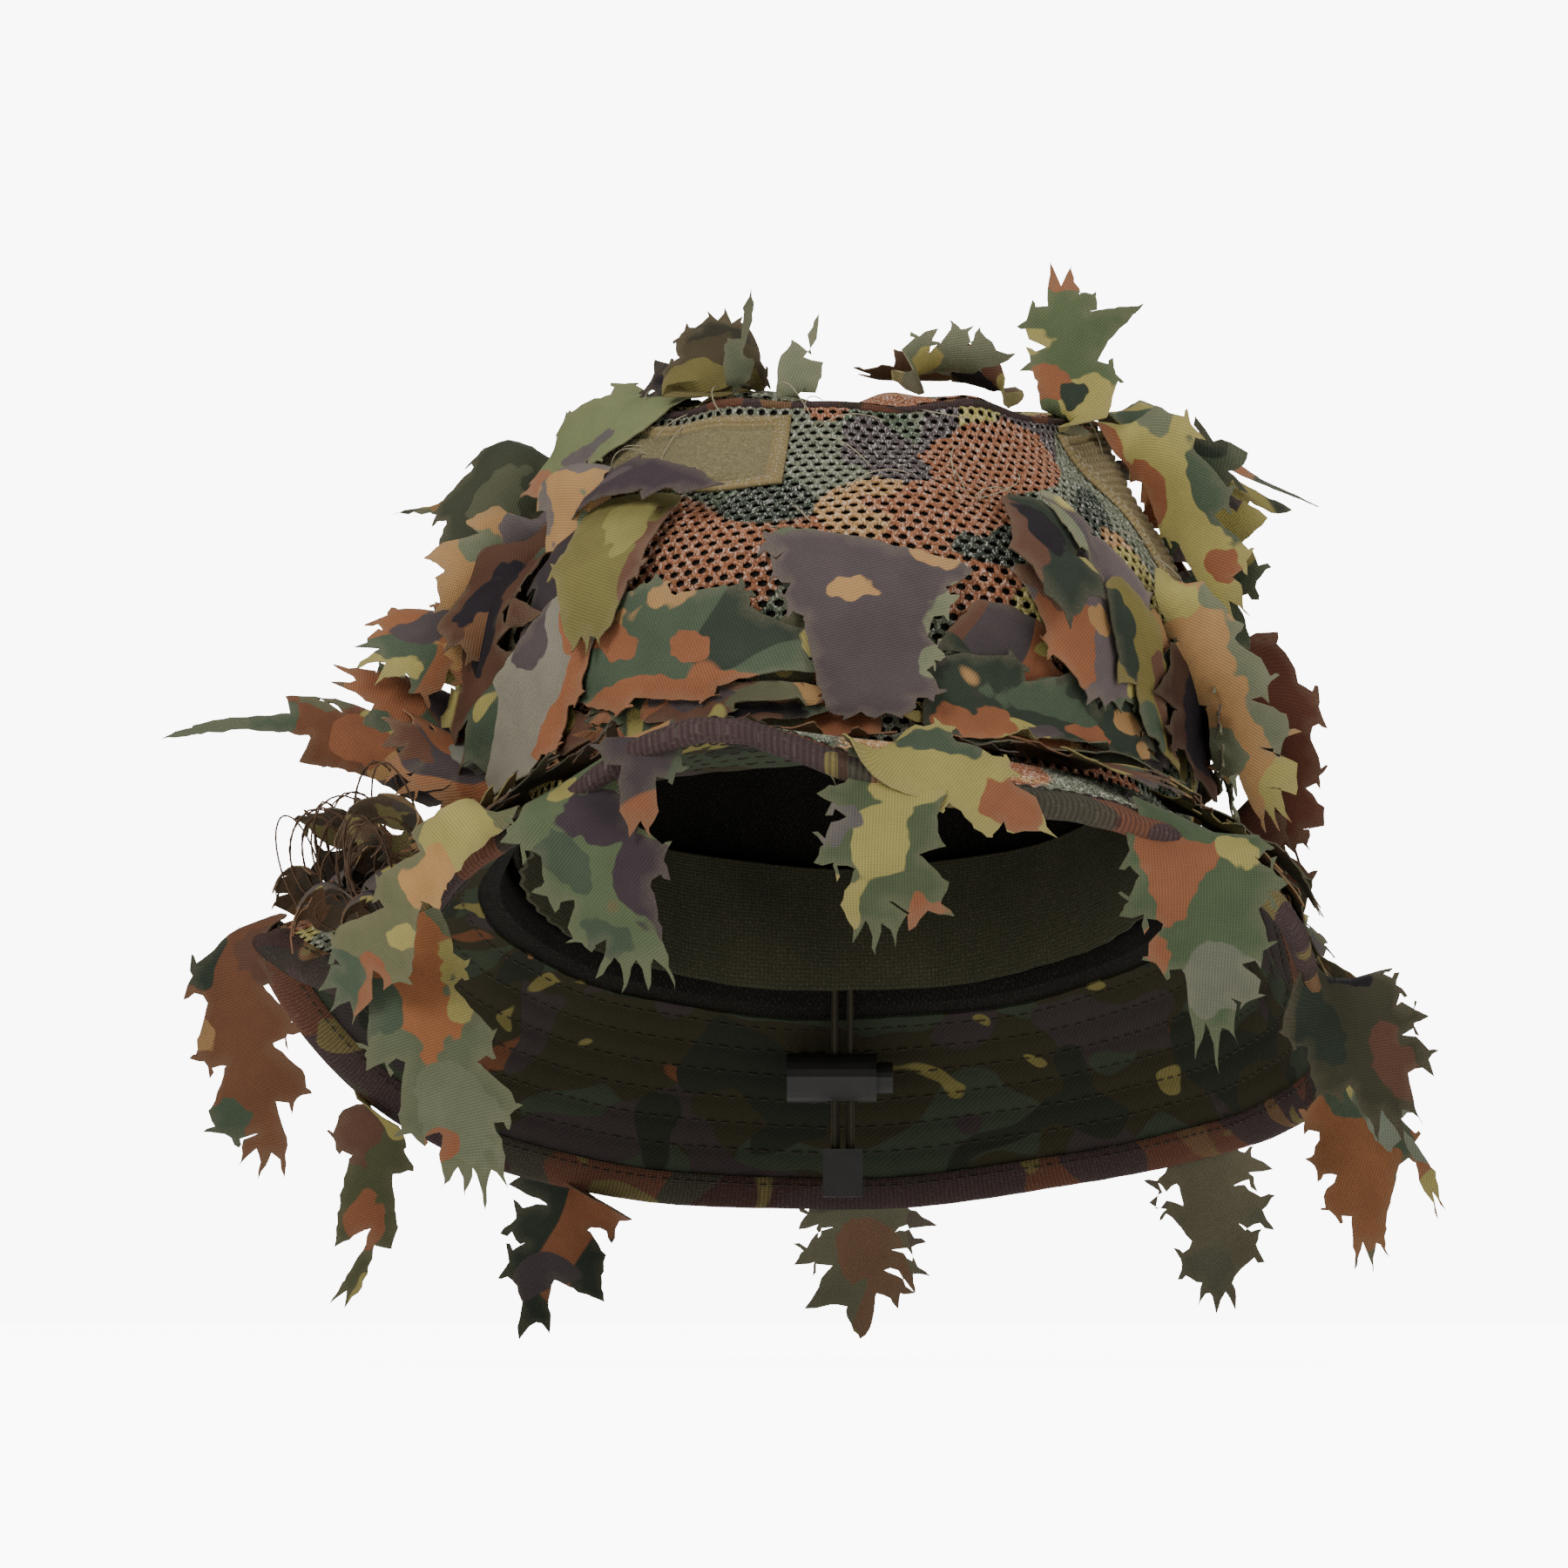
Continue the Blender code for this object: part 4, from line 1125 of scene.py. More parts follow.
def soften(outline, rng):
    """Rounds a coarse outline a little and frays it, at about one point for each 1.5 mm."""
    points = np.array(outline)
    count = len(points)
    dense = []
    for k in range(count):
        p0, p1, p2, p3 = (points[(k + i) % count] for i in (-1, 0, 1, 2))
        steps = max(1, int(np.linalg.norm(p2 - p1) / 1.5))
        for s in range(steps):
            t = s / steps
            m1, m2 = 0.3 * (p2 - p0), 0.3 * (p3 - p1)
            h = 2 * t**3 - 3 * t**2 + 1, t**3 - 2 * t**2 + t, -2 * t**3 + 3 * t**2, t**3 - t**2
            dense.append(h[0] * p1 + h[1] * m1 + h[2] * p2 + h[3] * m2)
    dense = np.array(dense)
    dense += np.array([[rng.uniform(-0.36, 0.36), rng.uniform(-0.36, 0.36)] for _ in dense])
    keep = [0]
    for k in range(1, len(dense)):
        if np.linalg.norm(dense[k] - dense[keep[-1]]) > 0.45:
            keep.append(k)
    return dense[keep]


def fill_outline(outline, step=3.0):
    """Triangulates an outline with points inside it. Returns points, triangles and each point's distance to the edge."""
    low, high = outline.min(0), outline.max(0)
    a, b = outline, np.roll(outline, -1, axis=0)

    def gap(points):
        d = b - a
        t = ((points[:, None] - a[None]) * d[None]).sum(-1) / np.maximum((d**2).sum(-1), 1e-9)[None]
        near = a[None] + np.clip(t, 0, 1)[..., None] * d[None]
        return np.linalg.norm(points[:, None] - near, axis=-1).min(1)

    def within(points):
        x, y = points[:, 0][:, None], points[:, 1][:, None]
        crosses = (a[:, 1] > y) != (b[:, 1] > y)
        at = a[:, 0] + (y - a[:, 1]) * (b[:, 0] - a[:, 0]) / np.where(b[:, 1] == a[:, 1], 1e-9, b[:, 1] - a[:, 1])
        return (crosses & (x < at)).sum(1) % 2 == 1

    rise = step * 0.866
    inside = np.array([
        (x, y)
        for j, y in enumerate(np.arange(low[1], high[1], rise))
        for x in np.arange(low[0] + (j % 2) * step / 2, high[0], step)
    ])
    inside = inside[within(inside)]
    inside = inside[gap(inside) > step * 0.4] if len(inside) else inside
    points = [Vector(p) for p in np.concatenate([outline, inside])]
    ring = [(k, (k + 1) % len(outline)) for k in range(len(outline))]
    got, _, faces, _, _, _ = delaunay_2d_cdt(points, ring, [], 1, 1e-4)
    flat = np.array([tuple(p) for p in got])
    tris = np.array([(f[0], f[k], f[k + 1]) for f in faces for k in range(1, len(f) - 1)])
    tris = tris[within(flat[tris].mean(1))]
    used = np.unique(tris)
    new = np.full(len(flat), -1)
    new[used] = np.arange(len(used))
    flat, tris = flat[used], new[tris]
    one, two = flat[tris[:, 1]] - flat[tris[:, 0]], flat[tris[:, 2]] - flat[tris[:, 0]]
    turned = one[:, 0] * two[:, 1] - one[:, 1] * two[:, 0] < 0
    tris[turned] = tris[turned][:, ::-1]
    return flat, tris, gap(flat)


def neighbours(tris):
    return np.unique(np.sort(np.concatenate([tris[:, :2], tris[:, 1:], tris[:, ::2]]), axis=1), axis=0)


def relax(values, pairs, rounds):
    """Smooths values over a mesh by averaging each with its neighbours."""
    for _ in range(rounds):
        total, count = values.copy(), np.ones(len(values))
        for one, other in ((0, 1), (1, 0)):
            np.add.at(total, pairs[:, one], values[pairs[:, other]])
            np.add.at(count, pairs[:, one], 1)
        values = total / count
    return values


FLOOR = np.full((AZIMUTHS, OUT.shape[1]), 1.3)
LEAVES = []


def cells_of(azimuth, run):
    i = np.round(np.asarray(azimuth) % 360 * AZIMUTHS / 360).astype(int) % AZIMUTHS
    j = np.clip(np.round((np.asarray(run) - RUN_LOW) / RUN_STEP).astype(int), 0, OUT.shape[1] - 1)
    return i, j


def dense_samples(tris, *values):
    """Values at many places inside each triangle."""
    weights = np.array([(i, j, 6 - i - j) for i in range(7) for j in range(7 - i)]) / 6
    return [np.einsum("wk,tk->tw", weights, value[tris]).ravel() for value in values]


def smooth(x):
    x = np.clip(x, 0, 1)
    return x * x * (3 - 2 * x)


def unit(v):
    v = np.asarray(v, float)
    return v / np.maximum(np.linalg.norm(v, axis=-1, keepdims=True), 1e-9)


class Leaf:
    """A cut leaf: its outline, print and place. look holds its ground colour, print, marks and painted shade: one
    brightness factor over the whole leaf that paints it darker where it lies in shade.
    """

    def __init__(self, host, seed, length, cut, look, body="hat"):
        self.host, self.seed, self.length, self.body = host, seed, length, body
        self.ground, self.bias = look.get("ground", GREY_GREEN), look.get("bias", (-0.06, -0.06, -0.06))
        self.shade, self.marks = look.get("shade", 1.0), look.get("marks", ())
        cut = dict(cut)
        if "width" in cut:
            cut = random_cut(seed, length, cut["width"])
        self.half = max(cut["body"]) + 4
        self.flat, self.tris, self.gap = fill_outline(leaf_outline(seed, length, **cut))
        self.pairs = neighbours(self.tris)
        LEAVES.append(self)


class LaidLeaf(Leaf):
    """A leaf laid on the hat, over whatever lies there already."""

    def __init__(self, host, seed, azimuth, run, heading, length, cut, look, curl=5.0, edge=2.5, ripple=1.2,
                 fold=0.0, start=0.3, ease=10):
        super().__init__(host, seed, length, cut, look)
        u, v = self.flat.T
        self.azimuth, self.run = laid_place(azimuth, run, heading)(u, v)
        rng = random.Random(seed * 7 + 1)
        part, side = np.clip(v / length, 0, 1), u / self.half
        waves = ripple * (
            np.sin(v / rng.uniform(4, 7) + side * rng.uniform(0.5, 2) + rng.uniform(0, 6))
            * np.cos(u / rng.uniform(5, 8) + rng.uniform(0, 6)) + 0.5
        )
        crease = rng.uniform(0, math.pi)
        across = (u * math.cos(crease) + v * math.sin(crease)) / rng.uniform(4.5, 7) + rng.uniform(0, 6)
        waves = waves + 0.9 * ripple * (1 - np.abs(np.sin(across))) ** 2
        one = rng.uniform(-1.0, 1.0)
        raised = edge * np.abs(side) ** 2.2 * (0.6 + 0.8 * smooth(0.5 + one * side)) * smooth(part / 0.35)
        lifted = curl * smooth((part - start) / (1.0 - start)) ** 1.4
        ridge = fold * np.exp(-((side - 0.15) / 0.3) ** 2) * smooth(part / 0.3)
        self.rise = np.maximum(0, lifted + raised + waves * smooth(part / 0.2) + ridge)
        around = [cells_of(self.azimuth + da, self.run + dr) for da in (-1.5, 0, 1.5) for dr in (-2, 0, 2)]
        under = np.max([FLOOR[cells] for cells in around], axis=0) + 0.6
        lift = relax(under, self.pairs, ease)
        for _ in range(5):
            lift = relax(np.maximum(lift, under), self.pairs, 2)
        self.lift = np.maximum(lift, under)
        self.cells = cells_of(*dense_samples(self.tris, self.azimuth, self.run))
        np.maximum.at(FLOOR, self.cells, dense_samples(self.tris, self.lift)[0] + 0.4)

    def settle(self, ceiling):
        """Curls the leaf up as far as the leaves over it allow."""
        around = [cells_of(self.azimuth + da, self.run + dr) for da in (-1.5, 0, 1.5) for dr in (-2, 0, 2)]
        room = np.min([ceiling[cells] for cells in around], axis=0) - self.lift - 0.6
        rise = np.minimum(self.rise, np.maximum(room, 0))
        for _ in range(3):
            rise = np.minimum(relax(rise, self.pairs, 3), np.maximum(room, 0))
        self.height = self.lift + rise
        np.minimum.at(ceiling, self.cells, dense_samples(self.tris, self.height)[0] - 0.2)

    def points(self):
        return skin(self.azimuth, self.run, self.height, True)


class FreeLeaf(Leaf):
    """A leaf that leaves the hat at its root and follows a curve to its tip, offset from the root in mm."""

    def __init__(self, host, seed, azimuth, run, lift, tip, side, cut, look, out=None, into=None, cup=0.0,
                 ripple=0.8, body="hat", grip=0.35):
        root = skin(azimuth, run, lift).reshape(3)
        along = unit(skin(azimuth, run + 2, lift).reshape(3) - root)
        tangent = unit(skin(azimuth + 1, run, lift).reshape(3) - root)
        tip = root + np.array(tip, float) * MM
        reach = np.linalg.norm(tip - root)
        out = along if out is None else unit(out)
        into = unit(tip - root) if into is None else unit(into)
        t = np.linspace(0, 1, 160)[:, None]
        one, two = root + out * reach * 0.42, tip - into * reach * 0.36
        path = root * (1 - t) ** 3 + one * 3 * t * (1 - t) ** 2 + two * 3 * t**2 * (1 - t) + tip * t**3
        run_on = np.concatenate([[0], np.cumsum(np.linalg.norm(np.diff(path, axis=0), axis=1))]) / MM
        length = run_on[-1]
        super().__init__(host, seed, length, cut, look, body)
        u, v = self.flat.T
        ahead_table = unit(np.gradient(path, axis=0))
        beyond = np.maximum(v - length, 0) + np.minimum(v, 0)
        place = np.stack([np.interp(v, run_on, path[:, k]) for k in range(3)], -1)
        ahead = unit(np.stack([np.interp(v, run_on, ahead_table[:, k]) for k in range(3)], -1))
        place = place + ahead * beyond[:, None] * MM
        turn = smooth(v / (length * grip))[:, None] if grip else np.ones((len(v), 1))
        across = unit(tangent * (1 - turn) + unit(side) * turn)
        across = unit(across - ahead * (ahead * across).sum(1)[:, None])
        normal = np.cross(ahead, across)
        bend = math.radians(cup) / self.half
        bent_u = np.sin(u * bend) / bend if cup else u
        bent_n = -(1 - np.cos(u * bend)) / bend if cup else np.zeros_like(u)
        rng = random.Random(seed * 5 + 2)
        wave = ripple * np.sin(v / rng.uniform(4, 7) + rng.uniform(0, 6)) * np.cos(u / rng.uniform(4, 7) + 1)
        self.world = place + (across * bent_u[:, None] + normal * (bent_n + wave * smooth(v / 10))[:, None]) * MM

    def points(self):
        return self.world


def build_leaf(leaf):
    """A leaf's two faces and rim, with what its material reads."""
    points, tris, count = leaf.points(), leaf.tris, len(leaf.flat)
    corners = points[tris]
    face = np.cross(corners[:, 1] - corners[:, 0], corners[:, 2] - corners[:, 0])
    normal = np.zeros_like(points)
    for k in range(3):
        np.add.at(normal, tris[:, k], face)
    normal = unit(normal)
    outward = -1.0
    half = 0.17 * MM * outward
    both = np.concatenate([points + normal * half, points - normal * half])
    order = tris[:, ::-1]
    faces = [tuple(t) for t in order] + [tuple(i + count for i in reversed(t)) for t in order]
    edges = {(a, b) for t in order for a, b in ((t[0], t[1]), (t[1], t[2]), (t[2], t[0]))}
    for a, b in sorted((int(a), int(b)) for a, b in edges):
        if (b, a) not in edges:
            faces.append((b, a, a + count, b + count))
    rng = random.Random(leaf.seed * 3 + 5)
    angle, shift = rng.uniform(0, 2 * math.pi), (rng.uniform(0, 3000), rng.uniform(0, 3000))
    u, v = leaf.flat.T
    flat = np.stack([
        u * math.cos(angle) - v * math.sin(angle) + shift[0], u * math.sin(angle) + v * math.cos(angle) + shift[1],
        np.zeros(count),
    ], -1) * MM
    edge = np.clip(leaf.gap / 0.8, 0, 1)
    # The tone's first part is the leaf's painted shade, varied a little at random.
    tone = np.stack([np.full(count, leaf.shade * rng.uniform(0.93, 1.07)), np.ones(count), edge], -1)
    back = tone * (1, 0, 1)
    values = {
        "flat": np.concatenate([flat, flat]), "tone": np.concatenate([tone, back]),
        "bias": np.tile(np.array(leaf.bias, float), (2 * count, 1)),
        "ground": np.tile(np.array([*linear(leaf.ground), 1.0]), (2 * count, 1)),
    }
    for k in range(MARKS):
        mark = leaf.marks[k] if k < len(leaf.marks) else (DARK, 0, -300, 1, 1, 0)
        values[f"mark_{k}"] = np.tile(mark_field(leaf.flat, mark), 2)
        values[f"mark_tone_{k}"] = np.tile(np.array([*linear(mark[0]), 1.0]), (2 * count, 1))
    return both, faces, values


def gather_leaves():
    """Settles every leaf and makes one piece of each group that stands for a CAD leaf."""
    ceiling = np.full_like(FLOOR, 1e3)
    for leaf in reversed([leaf for leaf in LEAVES if isinstance(leaf, LaidLeaf)]):
        leaf.settle(ceiling)
    groups = {}
    for leaf in LEAVES:
        groups.setdefault(leaf.host, []).append(leaf)
    for host, leaves in groups.items():
        parts = [build_leaf(leaf) for leaf in leaves]
        points, faces, first = [], [], 0
        for got, sides, _ in parts:
            points.append(got)
            faces.extend([[int(i) + first for i in face] for face in sides])
            first += len(got)
        piece = new_piece(host.replace("leaf_", "cut_leaf_"), np.concatenate(points), faces, leaves[0].body,
                          MATERIALS["leaf"], sharp=60)
        for name in parts[0][2]:
            values = np.concatenate([part[2][name] for part in parts])
            kind = "FLOAT" if values.ndim == 1 else "FLOAT_COLOR" if values.shape[1] == 4 else "FLOAT_VECTOR"
            give(piece, name, values, kind)
        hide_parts(host)


GROUNDS = (GREY_GREEN, GREEN, RUST, PURPLE, YELLOW, TAN, OLIVE, GREY_GREEN, BROWN)


def scatter(rng, host, azimuth, run, length, width, heading=30, curl=(3, 9), grounds=GROUNDS, shade=0.95):
    """One leaf with a random cut and print."""
    look = dict(ground=rng.choice(grounds), shade=shade, bias=tuple(rng.uniform(-0.04, 0.08) for _ in range(3)))
    return LaidLeaf(
        host, rng.randrange(10**6), azimuth, run, rng.uniform(-heading, heading), length, dict(width=width), look,
        curl=rng.uniform(*curl), edge=rng.uniform(1, 5), ripple=rng.uniform(0.6, 2.0),
    )


def make_leaves():
    """Every leaf, from the lowest layer to the highest."""
    rng = random.Random(11)
    back_leaves(rng)
    under_leaves(rng)
    front_leaves()
    left_leaves()
    right_leaves()
    hanging_leaves()


def back_leaves(rng):
    """The back and the far sides of the hat, covered as thickly as the front."""
    spots = (
        ("leaf_crown_back", 180, -108), ("leaf_crown_back_left", -124, -104), ("leaf_crown_back_right", 146, -104),
        ("leaf_crown_right_back", 108, -100), ("leaf_crown_back_left_low", -150, -62),
        ("leaf_crown_back_right_low", 160, -58), ("leaf_crown_left_side", -104, -76),
        ("leaf_brim_back", 176, 4), ("leaf_brim_back_left", -128, 4), ("leaf_brim_back_right", 128, 4),
        ("leaf_brim_left", -94, 6), ("leaf_brim_right", 86, 6),
    )
    for name, azimuth, run in spots:
        on_brim = run > 0
        for k in range(4):
            scatter(
                rng, name, azimuth + (k - 1.5) * 11 + rng.uniform(-4, 4),
                run + rng.uniform(-4, 4) + (0 if on_brim else 9 * (k % 3)),
                rng.uniform(34, 38) if on_brim else rng.uniform(46, 60), rng.uniform(36, 48),
                curl=(2, 6) if on_brim else (4, 10),
            )


def under_leaves(rng):
    """Leaves mostly hidden under the front ones: dark grounds, darkened further with painted shade where they lie under
    them.
    """
    spots = (
        ("leaf_crown_front_left", -42, -46), ("leaf_crown_front_left", -22, -36), ("leaf_crown_front", -2, -30),
        ("leaf_crown_front_right", 22, -34), ("leaf_crown_front_right", 42, -44), ("leaf_crown_left_low", -60, -50),
        ("leaf_crown_right_side", 62, -52), ("leaf_crown_left_side", -80, -60), ("leaf_crown_right_side", 84, -62),
        ("leaf_brim_front_right", 26, 4), ("leaf_brim_front_right", 46, 6), ("leaf_brim_front_left", -30, 6),
        ("leaf_brim_front_left", -52, 8), ("leaf_brim_right", 66, 6),
    )
    dark = (DARK_GREEN, OLIVE, BROWN, PURPLE, GREEN)
    for name, azimuth, run in spots:
        scatter(rng, name, azimuth, run, 40, 42, 24, (1, 3), dark, 0.8)


def front_leaves():
    laid = LaidLeaf
    laid("leaf_brim_front_right", 601, 16, -6, 66, 58, dict(
        body=(5, 8, 8, 5), right=[(0.4, 4, 30, 2), (0.7, 5, 40, 2)], left=[(0.5, 4, 30, 1)], tip=(7, 2, 8)),
        dict(ground=GREEN, shade=0.9, marks=((RUST, 3, 14, 7, 10, 0), (DARK_GREEN, -3, 34, 5, 8, 0), (TAN, 3, 48, 5, 5, 0))),
        curl=3, edge=3, ripple=2.0)
    laid("leaf_brim_front_left", 602, -28, -4, -58, 44, dict(
        body=(4, 7, 7, 4), right=[(0.5, 4, 30, 2)], left=[(0.4, 4, 30, 2), (0.75, 4, 40, 1)], tip=(6, 2, 7)),
        dict(ground=DARK_GREEN, shade=0.85, marks=((PURPLE, 0, 14, 5, 8, 0), (OLIVE, 0, 32, 5, 7, 0))), curl=3)
    # The rolled brown folds just over the brim's front arch
    laid("leaf_crown_front_left", 603, -25, -6, 90, 38, dict(
        body=(3, 6, 6, 3), right=[(0.4, 3, 20, 1)], left=[(0.6, 3, 20, 1)], tip=(5, 1, 4)),
        dict(ground=BROWN, shade=0.7, marks=((DARK, 0, 18, 4, 16, 0),)), curl=2, edge=4, ripple=2.6, fold=3)
    laid("leaf_crown_front_left", 604, -26, -13, 86, 40, dict(
        body=(3, 6, 6, 4), right=[(0.3, 3, 20, 1)], left=[(0.5, 3, 40, 2), (0.8, 3, 40, 1)], tip=(6, 2, 6)),
        dict(ground=BROWN, shade=0.8, marks=((OLIVE, -2, 28, 7, 8, 0), (PURPLE, 2, 12, 4, 10, 0))),
        curl=4, edge=4, ripple=2.6, fold=2)
    # Dark green with rust blotches, wrinkled, right of the middle
    laid("leaf_crown_front_right", 605, 10, -12, 86, 60, dict(
        body=(9, 12, 11, 6), right=[(0.3, 4, 30, 2), (0.62, 6, 45, 2), (0.84, 8, 55, 2)],
        left=[(0.35, 4, 10, 1), (0.7, 4, 30, 1)], tip=(10, 2, 9)),
        dict(ground=DARK_GREEN, shade=1.0, marks=(
            (RUST, -6, 12, 5, 9, 12), (RUST, -3, 38, 4, 7, -10), (GREEN, 5, 28, 5, 12, 0), (PURPLE, -7, 26, 3, 6, 0),
            (TAN, 6, 52, 3, 6, 0))), curl=5, edge=3, ripple=2.4)
    # Green with an orange oval and orange lower edge, running across the front
    laid("leaf_crown_front_left", 606, -39, -30, 82, 60, dict(
        body=(7, 13, 14, 11, 5), right=[(0.42, 3, 30, 2), (0.72, 3, 40, 2)],
        left=[(0.3, 4, 20, 2), (0.62, 3, 30, 2)], tip=(8, 3, 12)),
        dict(ground=GREEN, marks=(
            (RUST, -11, 30, 5, 22, 0), (RUST, -1, 34, 2.8, 4.2, 0), (TAN, 11, 26, 4, 12, -8), (RUST, 2, 14, 3.5, 8, 20),
            (YELLOW, 2, 60, 6, 7, 0))), curl=4, edge=3, ripple=1.6)
    # The large purple-grey leaf in the middle
    laid("leaf_crown_front", 607, 2.5, -53, 1, 54, dict(
        body=(22, 19, 13, 12, 9), root=(0, 11),
        left=[(0.10, 5, -14, 2), (0.22, 4, 2, 2), (0.36, 4, 20, 2)],
        right=[(0.36, 4, 20, 2), (0.58, 4, 12, 3), (0.76, 4, 30, 2)], tip=(5, 3, 14)),
        dict(ground=PURPLE, bias=(-0.3, -0.3, -0.3), marks=(
            (GREEN, -10, -1, 10, 4, -8), (TAN, 14, 8, 12, 3.6, 38), (TAN, -4, 18, 4.4, 2.2, -10), (GREY_GREEN, 20, 22, 7, 10, 10),
            (GREY_GREEN, 13, 33, 4, 4, 0))), curl=3, edge=2.5, ripple=0.9)
    # Rust and purple on the right, then a hollow fold, dark green and darkened further by painted shade
    laid("leaf_crown_front_right", 608, 33, -60, 2, 44, dict(
        body=(9, 17, 18, 14, 7), left=[(0.42, 6, -14, 1), (0.72, 3, 20, 2)],
        right=[(0.35, 3, 10, 2), (0.62, 4, 20, 2), (0.86, 4, 40, 2)], tip=(5, 3, 12)),
        dict(ground=(104, 92, 90), bias=(-0.2, -0.2, -0.2), marks=(
            (RUST, -11, 29, 10, 12, 0), (TAN, 1, 26, 1.8, 4.6, -6), (GREEN, 12, 43, 9, 4, 0), (BROWN, -14, 16, 6, 8, 0))),
        curl=3, edge=3, ripple=1.6)
    laid("leaf_crown_front_right", 609, 25, -65, 2, 32, dict(
        body=(5, 9, 9, 5), left=[(0.6, 3, 20, 1)], right=[(0.4, 3, 20, 1), (0.8, 3, 40, 1)], tip=(6, 1, 5)),
        dict(ground=DARK_GREEN, shade=0.75, bias=(-0.2, -0.2, -0.2), marks=(
            (BROWN, -7, 14, 5, 15, 0), (DARK, 1, 12, 4, 9, 0))), curl=6, edge=8, fold=5, ripple=0.8, start=0.1)
    laid("leaf_crown_front_right", 610, 29, -68, 22, 23, dict(
        body=(1.5, 3.5, 4, 2), left=[(0.7, 2, 40, 1)], right=[(0.5, 2.5, 30, 1)], tip=(6, 2, 3)),
        dict(ground=GREY_GREEN, shade=1.1), curl=5, edge=2)


CRUMPLED = 9


